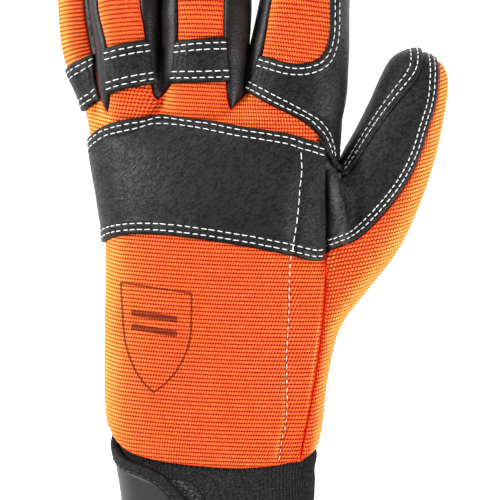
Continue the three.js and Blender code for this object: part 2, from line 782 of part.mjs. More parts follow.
const backCloth = withoutWalls.intersect(region(fingerJoin, "below"));
piece("palm_panel", palmPanel, colours.leather);
fingerNames.forEach((name) => piece("finger_front_" + name, fingerFront(name), colours.leather));
piece("thumb_front", thumbFront, colours.leather);
piece("back_panel", backCloth.intersect(region(backJoin, "below")), colours.orange);
piece("knuckle_panel", backCloth.intersect(region(backJoin, "above")), colours.orange);
fingerNames.forEach((name) => piece("finger_back_" + name, ofFinger(name, fingerCloth), colours.orange));
wallNames.forEach((name) => {
  piece("fourchette_" + name, handUpper.intersect(wallRegion(name, 0)), colours.sideCloth);
});
piece("thumb_leather", thumbUpper.intersect(region(thumbEdge, "inner")), colours.leather);
piece("thumb_back", thumbUpper.intersect(region(thumbEdge, "outer")), colours.orange);
piece("knuckle_guard", guard, colours.leather);
Object.keys(bandOutlines).forEach((name) => piece("band_" + name, band(name), colours.leather));
piece("index_wrap", indexWrap, colours.leather);
piece("thumb_crotch_patch", crotchPatch, colours.leather);
piece("cuff", cuff, colours.knit);
piece("loop_patch", loop, colours.knit);
piece("wrist_strap", strap, colours.satin);
piece("strap_binding", binding, colours.knit);

export default glove;
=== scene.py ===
"""A padded left-hand work glove of leather and ribbed cloth, lying with its back up."""

import math

import bpy
import numpy as np
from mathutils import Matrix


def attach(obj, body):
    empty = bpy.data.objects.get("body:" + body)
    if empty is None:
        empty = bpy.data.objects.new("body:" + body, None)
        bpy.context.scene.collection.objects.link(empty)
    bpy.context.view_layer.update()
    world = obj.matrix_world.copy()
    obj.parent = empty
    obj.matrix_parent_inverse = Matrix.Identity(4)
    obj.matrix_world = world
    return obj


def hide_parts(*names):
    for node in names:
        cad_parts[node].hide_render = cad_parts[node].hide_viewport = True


bl_info = {
    "name": "Work Glove",
    "version": (1, 0, 0),
    "blender": (4, 5, 0),
    "location": "3D View > Sidebar > Glove",
    "description": "Builds a padded work glove of leather and ribbed cloth, piece by piece",
    "category": "Add Mesh",
}

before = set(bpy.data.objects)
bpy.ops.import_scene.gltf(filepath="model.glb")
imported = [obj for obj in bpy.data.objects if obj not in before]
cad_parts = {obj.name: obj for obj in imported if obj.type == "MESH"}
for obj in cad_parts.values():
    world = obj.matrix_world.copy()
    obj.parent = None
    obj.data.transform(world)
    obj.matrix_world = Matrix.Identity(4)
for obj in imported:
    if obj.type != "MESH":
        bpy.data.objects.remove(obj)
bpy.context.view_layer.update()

MM = 0.001

# Sections of the hand: along from the cuff seam to the finger crotches, left and right as shares of the
# palm's width, top and bottom of its height, and how far the little-finger side drops.
HAND_ROWS = [
    (-0.03, -0.375, 0.365, 0.80, 0.06, 0.06),
    (0.02, -0.405, 0.385, 0.88, 0.01, 0.06),
    (0.08, -0.424, 0.400, 0.93, -0.02, 0.07),
    (0.22, -0.434, 0.420, 0.95, -0.02, 0.08),
    (0.42, -0.432, 0.450, 0.97, -0.02, 0.10),
    (0.60, -0.430, 0.462, 0.99, -0.02, 0.13),
    (0.73, -0.453, 0.462, 0.99, -0.02, 0.16),
    (0.84, -0.480, 0.470, 0.95, -0.02, 0.20),
    (0.92, -0.490, 0.480, 0.87, 0.02, 0.22),
    (0.98, -0.482, 0.475, 0.74, 0.12, 0.20),
]
# Fingers: length, width and height in mm, roll in degrees. Their sections: along as a share of the length,
# side and rise as shares of the palm's width and height, and width and height as shares of the finger's own.
FINGERS = {
    "little": (64, 22, 26, 16),
    "ring": (84, 29, 28, 9),
    "middle": (90, 36, 30, 0),
    "index": (76, 35, 29, -4),
}
FINGER_ROWS = {
    "little": [
        (-0.60, -0.370, 0.36, 0.80, 0.85),
        (0.00, -0.430, 0.32, 0.84, 0.98),
        (0.31, -0.495, 0.28, 0.93, 0.98),
        (0.64, -0.514, 0.26, 0.98, 0.96),
        (1.00, -0.523, 0.22, 0.86, 0.86),
    ],
    "ring": [
        (-0.42, -0.290, 0.50, 0.85, 0.90),
        (0.00, -0.322, 0.53, 0.97, 0.98),
        (0.24, -0.335, 0.55, 0.89, 1.00),
        (0.49, -0.350, 0.53, 1.00, 1.00),
        (0.76, -0.360, 0.42, 0.95, 0.94),
        (1.00, -0.366, 0.25, 0.84, 0.84),
    ],
    "middle": [
        (-0.40, -0.050, 0.52, 0.90, 0.90),
        (0.00, -0.050, 0.56, 0.99, 0.98),
        (0.22, -0.041, 0.58, 0.97, 1.00),
        (0.455, -0.036, 0.57, 1.00, 1.00),
        (0.76, -0.034, 0.44, 0.92, 0.93),
        (1.00, -0.034, 0.25, 0.80, 0.80),
    ],
    "index": [
        (-0.42, 0.240, 0.50, 1.10, 0.90),
        (0.00, 0.300, 0.53, 1.20, 0.98),
        (0.26, 0.326, 0.55, 1.12, 1.00),
        (0.54, 0.348, 0.53, 1.00, 1.00),
        (0.78, 0.364, 0.41, 0.94, 0.94),
        (1.00, 0.373, 0.25, 0.82, 0.84),
    ],
}
# The thumb: length, width and height in mm, heading in degrees; where its free part starts; its sections down
# the hand's side, then those of its free part, whose second number bends it sideways.
THUMB = (57, 34, 34, 16)
THUMB_WEB = (0.658, 0.774)
GUSSET_ROWS = [
    (-0.03, 0.325, 0.45, 0.36, 0.95),
    (0.10, 0.348, 0.46, 0.44, 1.05),
    (0.25, 0.362, 0.46, 0.52, 1.10),
    (0.40, 0.396, 0.44, 0.66, 1.10),
    (0.53, 0.484, 0.41, 0.90, 1.08),
    (0.65, 0.585, 0.38, 1.04, 1.04),
]
THUMB_ROWS = [
    (0.00, 0.00, 0.36, 1.08, 1.00),
    (0.27, 0.06, 0.34, 1.00, 0.94),
    (0.53, 0.087, 0.31, 0.895, 0.88),
    (0.77, 0.090, 0.28, 0.79, 0.80),
    (1.00, 0.085, 0.24, 0.58, 0.66),
]
# Sections of the cuff, like the hand's, from the cuff seam to the open end.
CUFF_ROWS = [
    (-0.50, -0.360, 0.350, 0.74, 0.16, 0.05),
    (-0.34, -0.372, 0.364, 0.77, 0.14, 0.05),
    (-0.17, -0.372, 0.384, 0.79, 0.11, 0.05),
    (-0.09, -0.365, 0.398, 0.80, 0.10, 0.05),
    (0.10, -0.352, 0.390, 0.80, 0.10, 0.05),
    (0.36, -0.337, 0.389, 0.79, 0.10, 0.05),
    (0.62, -0.336, 0.384, 0.78, 0.10, 0.05),
    (1.00, -0.345, 0.384, 0.80, 0.10, 0.05),
]

# Outlines from above: shares of the palm's width and of the back's length.
CUFF_SEAM = [
    (-0.60, 0.28), (-0.47, 0.16), (-0.424, 0.10), (-0.392, 0.06), (-0.33, 0.027), (-0.20, 0.003),
    (0.0, -0.012), (0.14, -0.014), (0.28, -0.002), (0.37, 0.02), (0.41, 0.052), (0.46, 0.10), (0.60, 0.22),
]
GUARD_TOP = [
    (-0.56, 0.86), (-0.506, 0.884), (-0.44, 0.92), (-0.37, 0.939), (-0.245, 0.951), (-0.109, 0.946),
    (0.101, 0.918), (0.29, 0.897), (0.425, 0.868),
]
GUARD_BOTTOM = [
    (0.43, 0.557), (0.37, 0.555), (0.29, 0.569), (0.121, 0.593), (-0.093, 0.617), (-0.268, 0.628),
    (-0.389, 0.621), (-0.44, 0.60), (-0.50, 0.57),
]
THUMB_SIDE = [
    (0.322, -0.05), (0.335, 0.02), (0.350, 0.08), (0.371, 0.155), (0.394, 0.25), (0.412, 0.34),
    (0.424, 0.42), (0.431, 0.50), (0.430, 0.555), (0.418, 0.585), (0.412, 0.63), (0.412, 0.70),
    (0.412, 0.79), (0.414, 0.832), (0.434, 0.848), (0.484, 0.824), (0.51, 0.86), (0.545, 0.94),
    (0.60, 1.08), (0.62, 1.40),
]
THUMB_EDGE = [
    (0.39, 0.565), (0.45, 0.584), (0.56, 0.617), (0.665, 0.688), (0.751, 0.768), (0.805, 0.845),
    (0.837, 0.916), (0.869, 0.989), (0.88, 1.052), (0.88, 1.10), (0.866, 1.16), (0.84, 1.25),
]
CROTCH_EDGE = [
    (0.36, 0.90), (0.405, 0.885), (0.430, 0.850), (0.455, 0.822), (0.480, 0.800), (0.508, 0.786),
    (0.535, 0.80), (0.57, 0.838), (0.65, 0.925), (0.74, 1.01), (0.79, 1.055), (0.815, 1.10), (0.81, 1.18),
]
# Side walls: the tip nearest the cuff, then the edges toward the little finger and toward the thumb.
WALLS = {
    "little_ring": (
        (-0.424, 0.959),
        [(-0.447, 0.997), (-0.486, 1.125), (-0.519, 1.264), (-0.53, 1.5)],
        [(-0.414, 1.014), (-0.424, 1.136), (-0.461, 1.264), (-0.44, 1.45), (-0.40, 1.62)],
    ),
    "ring_middle": (
        (-0.222, 0.995),
        [(-0.245, 1.027), (-0.274, 1.183), (-0.292, 1.264), (-0.30, 1.42), (-0.34, 1.64)],
        [(-0.173, 1.041), (-0.156, 1.076), (-0.146, 1.177), (-0.144, 1.40), (-0.09, 1.68)],
    ),
    "middle_index": (
        (0.062, 0.968),
        [(0.047, 1.014), (0.045, 1.076), (0.035, 1.177), (0.035, 1.40), (-0.005, 1.68)],
        [(0.139, 1.034), (0.183, 1.123), (0.217, 1.264), (0.26, 1.40), (0.33, 1.60)],
    ),
}
# Bands across the fingers: the edge nearer the cuff, then the one nearer the fingertip.
BANDS = {
    "little": (
        [(-0.62, 0.90), (-0.521, 0.965), (-0.42, 1.01)],
        [(-0.42, 1.145), (-0.541, 1.106), (-0.64, 1.06)],
    ),
    "ring": (
        [(-0.46, 0.995), (-0.362, 1.022), (-0.20, 1.045)],
        [(-0.20, 1.168), (-0.374, 1.146), (-0.48, 1.125)],
    ),
    "middle": (
        [(-0.21, 1.04), (-0.07, 1.041), (0.08, 1.045)],
        [(0.08, 1.166), (-0.07, 1.161), (-0.19, 1.152)],
    ),
}
INDEX_LOW = [
    (0.10, 1.03), (0.206, 0.984), (0.331, 0.936), (0.397, 0.898), (0.422, 0.868), (0.434, 0.835),
    (0.45, 0.80), (0.52, 0.77),
]
INDEX_NOTCH = [
    (0.43, 1.75), (0.436, 1.55), (0.44, 1.35), (0.442, 1.22), (0.436, 1.16), (0.415, 1.12), (0.38, 1.101),
    (0.331, 1.094), (0.268, 1.099), (0.183, 1.117), (0.10, 1.13),
]
FINGER_JOIN = [
    (-0.70, 0.99), (-0.47, 1.05), (-0.34, 1.085), (-0.16, 1.10), (0.05, 1.10), (0.16, 1.05), (0.38, 0.99),
    (0.60, 0.97),
]
THUMB_FRONT = [
    (0.62, 0.28), (0.44, 0.36), (0.37, 0.46), (0.36, 0.60), (0.40, 0.74), (0.48, 0.83), (0.54, 0.94),
    (0.60, 1.08), (0.62, 1.40),
]
QUILT_LINE = [
    (0.329, 0.858), (0.331, 0.801), (0.323, 0.755), (0.318, 0.70), (0.31, 0.65), (0.296, 0.583),
    (0.288, 0.504), (0.288, 0.43), (0.283, 0.365), (0.278, 0.292), (0.28, 0.188), (0.276, 0.114),
    (0.261, 0.07), (0.249, 0.01),
]
STRAP_EDGE = [
    (-0.60, 0.22), (-0.50, 0.15), (-0.424, 0.095), (-0.38, 0.048), (-0.331, 0.012), (-0.27, -0.006),
    (-0.20, -0.03), (-0.13, -0.08), (-0.095, -0.14), (-0.115, -0.195), (-0.19, -0.238), (-0.29, -0.246),
    (-0.38, -0.22), (-0.50, -0.15), (-0.60, -0.10),
]
# Under the hand the strap ends at this share of the width, between these shares of the length.
STRAP_UNDER = (0.05, -0.19, 0.12)
LOOP_PAD = ((-0.30, -0.225), (-0.045, -0.045))
WEB_SEAM = [(0.400, 0.887), (0.425, 0.853), (0.450, 0.825), (0.476, 0.803), (0.503, 0.784)]
# The taut leather in the web: where it starts and ends across, and its height there in mm.
WEB_FILL = (0.432, 0.575, 42.2, 37.2)

# Distances over the surface, in mm: lines cut along a rim of cloth and of leather, and rows of stitches.
CLOTH_RIM = (0.45, 1.1, 2.0)
LEATHER_RIM = (0.35, 0.8, 1.3)
STITCH_ROWS = (2.0, 4.6)
BAND_STITCH_ROWS = (2.2, 4.8)
THUMB_STITCH_ROWS = (2.2, 4.2)
# How deep a row of stitches sinks into leather, and how far to each side.
ROW_DEPTH, ROW_REACH = 0.28, 0.55
# How far cloth is pressed in under leather, and how far above the shell a second layer of leather starts.
PRESSED = 0.35
LIFT = 0.55
# From the strap's outline to its face, and across its tape.
STRAP_INSET, TAPE_WIDTH = 4.3, 4.6
# The distance that a point gets which is far from what is measured.
FAR_OFF = 20.0
# A run of stitches has more points than this.
SHORTEST_RUN = 8


class GloveSizes(bpy.types.PropertyGroup):
    """Sizes of the glove, in metres."""

    palm_width: bpy.props.FloatProperty(
        name="Palm width", description="Across the knuckles, outside", default=0.108, unit="LENGTH"
    )
    palm_height: bpy.props.FloatProperty(
        name="Palm height", description="Up to the top of the padded back", default=0.052, unit="LENGTH"
    )
    back_length: bpy.props.FloatProperty(
        name="Back length", description="From the cuff seam to the finger crotches",
        default=0.154, unit="LENGTH",
    )
    palm_centre: bpy.props.FloatProperty(
        name="Palm centre", description="Share of the back's length below the origin", default=0.448
    )
    cuff_length: bpy.props.FloatProperty(
        name="Cuff length", description="From the cuff seam to the open end", default=0.042, unit="LENGTH"
    )
    wall: bpy.props.FloatProperty(
        name="Wall", description="Cloth, padding and lining together", default=0.0024, unit="LENGTH"
    )
    leather: bpy.props.FloatProperty(
        name="Leather", description="Thickness of the leather laid on the shell",
        default=0.0014, unit="LENGTH",
    )
    rib_pitch: bpy.props.FloatProperty(
        name="Rib pitch", description="Between two ribs of the cloth", default=0.00165, unit="LENGTH"
    )
    rib_depth: bpy.props.FloatProperty(
        name="Rib depth", description="From a rib's top to the groove beside it",
        default=0.00055, unit="LENGTH",
    )
    stitch_pitch: bpy.props.FloatProperty(
        name="Stitch pitch", description="From one stitch to the next", default=0.0034, unit="LENGTH"
    )
    thread: bpy.props.FloatProperty(
        name="Thread", description="Thickness of the sewing thread", default=0.00042, unit="LENGTH"
    )
    grain: bpy.props.FloatProperty(
        name="Surface step", description="Spacing of the points that carry the shape",
        default=0.0011, unit="LENGTH",
    )


class GloveColours(bpy.types.PropertyGroup):
    """Colours of the glove's cloth, leather and thread."""

    cloth: bpy.props.FloatVectorProperty(
        name="Cloth", description="Ribbed cloth", subtype="COLOR", size=4, default=(1.0, 0.150, 0.030, 1)
    )
    leather: bpy.props.FloatVectorProperty(
        name="Leather", description="Leather panels", subtype="COLOR", size=4,
        default=(0.0105, 0.0103, 0.0103, 1),
    )
    walls: bpy.props.FloatVectorProperty(
        name="Side walls", description="Padded cloth between the fingers", subtype="COLOR", size=4,
        default=(0.007, 0.0055, 0.0055, 1),
    )
    knit: bpy.props.FloatVectorProperty(
        name="Cuff", description="Knitted cuff", subtype="COLOR", size=4, default=(0.0085, 0.0082, 0.0082, 1)
    )
    strap: bpy.props.FloatVectorProperty(
        name="Strap", description="Face of the strap", subtype="COLOR", size=4,
        default=(0.016, 0.016, 0.0164, 1),
    )
    thread: bpy.props.FloatVectorProperty(
        name="Thread", description="Sewing thread", subtype="COLOR", size=4, default=(0.96, 0.95, 0.93, 1)
    )


def sizes():
    return bpy.context.scene.glove_sizes


def colours():
    return bpy.context.scene.glove_colours


def mm(value):
    return value / MM


def place(shares):
    """Points on the glove seen from above, in mm, from shares of its width and length."""
    s = sizes()
    shares = np.asarray(shares, float)
    x = shares[..., 0] * mm(s.palm_width)
    y = (shares[..., 1] - s.palm_centre) * mm(s.back_length)
    return np.stack([x, y], -1)


def curve(rows, places):
    """Smooth values of a table's columns at places in its first column."""
    rows = np.asarray(rows, float)
    keys, values = rows[:, 0], rows[:, 1:]
    places = np.asarray(places, float)
    last = len(keys) - 1
    i = np.clip(np.searchsorted(keys, places, "right") - 1, 0, last - 1)
    ahead, behind = np.minimum(np.arange(last + 1) + 1, last), np.maximum(np.arange(last + 1) - 1, 0)
    slopes = (values[ahead] - values[behind]) / (keys[ahead] - keys[behind])[:, None]
    span = (keys[i + 1] - keys[i])[:, None]
    t = ((places - keys[i])[:, None]) / span
    t2, t3 = t * t, t * t * t
    return (
        (2 * t3 - 3 * t2 + 1) * values[i]
        + (t3 - 2 * t2 + t) * span * slopes[i]
        + (3 * t2 - 2 * t3) * values[i + 1]
        + (t3 - t2) * span * slopes[i + 1]
    )


def smooth_line(points, steps=8):
    """A smooth line through points."""
    points = np.asarray(points, float)
    padded = np.vstack([2 * points[0] - points[1], points, 2 * points[-1] - points[-2]])
    t = np.linspace(0, 1, steps, endpoint=False)[:, None]
    runs = []
    for a, b, c, d in zip(padded, padded[1:], padded[2:], padded[3:]):
        runs.append(
            0.5 * (2 * b + (c - a) * t + (2 * a - 5 * b + 4 * c - d) * t**2 + (3 * b - a - 3 * c + d) * t**3)
        )
    return np.vstack([*runs, points[-1:]])


def superellipse(angles, squareness):
    c, s = np.cos(angles), np.sin(angles)
    power = 2 / squareness
    return np.sign(c) * np.abs(c) ** power, np.sign(s) * np.abs(s) ** power


def step(value, low, high):
    t = np.clip((value - low) / (high - low), 0, 1)
    return t * t * (3 - 2 * t)


def unit(vectors):
    """Vectors made one long."""
    return vectors / np.maximum(np.linalg.norm(vectors, axis=-1, keepdims=True), 1e-12)


def noise(points, scale, seed=0):
    """Smooth noise from -1 to 1 at points, the same on every run."""
    p = np.asarray(points, float) / scale + 37.3 * (seed + 1)
    cell = np.floor(p).astype(np.int64)
    t = p - cell
    t = t * t * (3 - 2 * t)
    total = np.zeros(len(p))
    for corner in range(8):
        bits = np.array([corner & 1, corner >> 1 & 1, corner >> 2 & 1])
        at = cell + bits
        mixed = (at[:, 0] * 73856093) ^ (at[:, 1] * 19349663) ^ (at[:, 2] * 83492791) ^ (seed * 2654435)
        mixed = (mixed ^ (mixed >> 13)) * 1274126177 & 0xFFFFFFF
        value = (mixed % 65536) / 32768 - 1
        total += value * np.prod(np.where(bits, t, 1 - t), axis=1)
    return total


# Forms


def sloped_rings(rows, places, ys, sides):
    """Rings across the hand or the cuff."""
    s = sizes()
    left, right, top, bottom, tilt = curve(rows, places).T
    left, right = left * mm(s.palm_width), right * mm(s.palm_width)
    top, bottom = top * mm(s.palm_height), bottom * mm(s.palm_height)
    u, v = superellipse(np.linspace(0, 2 * np.pi, sides, endpoint=False), 2.5)
    drop = np.where(v > 0, 1 + tilt[:, None] * u, 1)
    x = (left + right)[:, None] / 2 + u * (right - left)[:, None] / 2
    z = (top + bottom)[:, None] / 2 + v * drop * (top - bottom)[:, None] / 2
    y = np.broadcast_to(np.asarray(ys)[:, None], x.shape)
    return np.stack([x, y, z], -1)


def hand_rings():
    length = mm(sizes().back_length)
    places = np.linspace(-0.05, 0.98, 90)
    rings = sloped_rings(HAND_ROWS, places, (places - sizes().palm_centre) * length, 120)
    last = rings[-1]
    centre = last.mean(0)
    cap = []
    for angle in np.radians([25, 45, 62, 76, 86]):
        ring = centre + (last - centre) * np.array([1 - 0.3 * (1 - math.cos(angle)), 1, math.cos(angle)])
        ring[:, 1] = last[:, 1] + 5 * math.sin(angle)
        cap.append(ring)
    return np.concatenate([rings, cap])


def rounded_end(first, last, tip, count):
    """Places from first to last, and how much the rounded tip narrows each."""
    angles = np.radians(np.linspace(6, 86, 14))
    places = np.concatenate([np.linspace(first, last - tip, count), last - tip + tip * np.sin(angles)])
    return places, np.concatenate([np.ones(count), np.cos(angles)])


def finger_stations(name):
    """Middles of a finger's sections, and half their widths and heights."""
    s = sizes()
    length, width, height, _ = FINGERS[name]
    rows = FINGER_ROWS[name]
    along, shrink = rounded_end(rows[0][0], 1, width / 2 / length, 60)
    side, rise, wide, tall = curve(rows, along).T
    crotch = (1 - s.palm_centre) * mm(s.back_length)
    centres = np.stack([side * mm(s.palm_width), crotch + along * length, rise * mm(s.palm_height)], -1)
    return centres, wide * width / 2 * shrink, tall * height / 2 * shrink


def thumb_stations():
    """The same for the thumb."""
    length, width, height, heading = THUMB
    heading = math.radians(heading)
    web = place(THUMB_WEB)
    rows = []
    for along, side, rise, wide, tall in GUSSET_ROWS:
        rows.append((len(rows), *place((side, along)), rise, wide, tall))
    for reach, bow, rise, wide, tall in THUMB_ROWS:
        x = web[0] + reach * length * math.sin(heading) + bow * width
        y = web[1] + reach * length * math.cos(heading)
        rows.append((len(rows), x, y, rise, wide, tall))
    steps, shrink = rounded_end(0, len(rows) - 1, 0.62, 90)
    x, y, rise, wide, tall = curve(rows, steps).T
    centres = np.stack([x, y, rise * mm(sizes().palm_height)], -1)
    return centres, wide * width / 2 * shrink, tall * height / 2 * shrink


def axes_along(centres, roll):
    """Across and up directions at each station."""
    way = unit(np.gradient(centres, axis=0))
    side = unit(np.cross(way, (0, 0, 1)))
    up = np.cross(side, way)
    c, s = math.cos(math.radians(roll)), math.sin(math.radians(roll))
    return side * c + up * s, up * c - side * s


def tube_rings(centres, wide, tall, roll):
    side, up = axes_along(centres, roll)
    u, v = superellipse(np.linspace(0, 2 * np.pi, 64, endpoint=False), 2.3)
    return (
        centres[:, None]
        + side[:, None] * (wide[:, None] * u)[..., None]
        + up[:, None] * (tall[:, None] * v)[..., None]
    )


def ring_quads(count, sides):
    """Four-sided faces between rings of points."""
    i = np.arange(sides)
    j = (i + 1) % sides
    r = np.arange(count - 1)[:, None] * sides
    return np.stack([r + i, r + j, r + j + sides, r + i + sides], -1).reshape(-1, 4)


def halved(quads):
    """Two triangles for each four-sided face."""
    return np.concatenate([quads[:, [0, 1, 2]], quads[:, [0, 2, 3]]])


def loft(rings):
    """Points and faces of a closed skin through rings."""
    count, sides = rings.shape[:2]
    points = np.concatenate([rings.reshape(-1, 3), [rings[0].mean(0), rings[-1].mean(0)]])
    i = np.arange(sides)
    j = (i + 1) % sides
    top = (count - 1) * sides
    start = np.stack([np.full(sides, count * sides), j, i], -1)
    end = np.stack([np.full(sides, count * sides + 1), top + i, top + j], -1)
    return points, [*ring_quads(count, sides).tolist(), *start.tolist(), *end.tolist()]


def linked(name, data):
    """A new object in the scene."""
    obj = bpy.data.objects.new(name, data)
    bpy.context.scene.collection.objects.link(obj)
    return obj


def mesh_object(name, points, faces):
    mesh = bpy.data.meshes.new(name)
    mesh.from_pydata((np.asarray(points) * MM).tolist(), [], faces)
    return linked(name, mesh)


def select_only(obj):
    bpy.ops.object.select_all(action="DESELECT")
    obj.select_set(True)
    bpy.context.view_layer.objects.active = obj


def read_triangles(obj):
    mesh = obj.data
    mesh.calc_loop_triangles()
    points = np.empty(len(mesh.vertices) * 3)
    mesh.vertices.foreach_get("co", points)
    faces = np.empty(len(mesh.loop_triangles) * 3, np.int64)
    mesh.loop_triangles.foreach_get("vertices", faces)
    return points.reshape(-1, 3) / MM, faces.reshape(-1, 3)


def vertex_normals(points, faces):
    a, b, c = points[faces[:, 0]], points[faces[:, 1]], points[faces[:, 2]]
    flat = np.cross(b - a, c - a)
    normals = np.zeros_like(points)
    for k in range(3):
        for axis in range(3):
            normals[:, axis] += np.bincount(faces[:, k], flat[:, axis], len(points))
    return unit(normals)


def relax(points, faces, times, amount=0.5, back=0.0, share=None):
    """Evens a surface out; back undoes the shrinking, and share limits where."""
    edges = np.sort(np.concatenate([faces[:, :2], faces[:, 1:], faces[:, ::2]]), axis=1)
    edges = np.unique(edges, axis=0)
    ends = np.concatenate([edges, edges[:, ::-1]])
    count = np.maximum(np.bincount(ends[:, 0], minlength=len(points)), 1)
    weight = 1 if share is None else share[:, None]
    for _ in range(times):
        for force in (amount, -back) if back else (amount,):
            near = points[ends[:, 1]]
            total = np.stack([np.bincount(ends[:, 0], near[:, axis], len(points)) for axis in range(3)], -1)
            points = points + weight * force * (total / count[:, None] - points)
    return points


# Lines seen from above


def line_distance(points, line):
    """Distance from points to a line, and the direction from the line to each point."""
    best = np.full(len(points), 1e18)
    away = np.zeros_like(points)
    for a, b in zip(line, line[1:]):
        along = b - a
        t = np.clip(((points - a) @ along) / max(along @ along, 1e-12), 0, 1)
        to = points - (a + t[:, None] * along)
        square = (to**2).sum(1)
        nearer = square < best
        best[nearer] = square[nearer]
        away[nearer] = to[nearer]
    distance = np.sqrt(best)
    return distance, away / np.maximum(distance, 1e-9)[:, None]


def inside(points, outline):
    """Whether points are inside a closed outline."""
    result = np.zeros(len(points), bool)
    x, y = points.T
    for (ax, ay), (bx, by) in zip(outline, np.roll(outline, -1, axis=0)):
        if ay == by:
            continue
        crosses = (ay > y) != (by > y)
        result ^= crosses & (x < (bx - ax) * (y - ay) / (by - ay) + ax)
    return result


def signed_distance(points, outline):
    """Distance from a closed outline, below zero inside it."""
    distance, _ = line_distance(points, np.vstack([outline, outline[:1]]))
    return np.where(inside(points, outline), -distance, distance)


def far_side(line, side):
    """Corners far from the glove that close a line round the side of it that counts."""
    far = 700
    return {
        "above": [(far, far), (-far, far)],
        "left": [(-far, far), (-far, -far)],
        "inner": [(line[-1, 0], far), (-far, far), (-far, line[0, 1] - 10)],
    }[side]


def plan_field(points, normals, line, side):
    """Distance over the surface from a line seen from above, positive on one side of it."""
    line = np.asarray(line, float)
    outline = line if side == "closed" else np.vstack([line, far_side(line, side)])
    drawn = np.vstack([line, line[:1]]) if side == "closed" else line
    reach = 14.0
    near = ((points[:, :2] > line.min(0) - reach) & (points[:, :2] < line.max(0) + reach)).all(1)
    distance = np.full(len(points), reach)
    close, away = line_distance(points[near, :2], drawn)
    lean = (normals[near, :2] * away).sum(1)
    distance[near] = np.minimum(close / np.sqrt(np.maximum(1 - lean**2, 0.06)), 60)
    sign = np.where(inside(points[:, :2], outline), 1, -1)
    return distance * sign


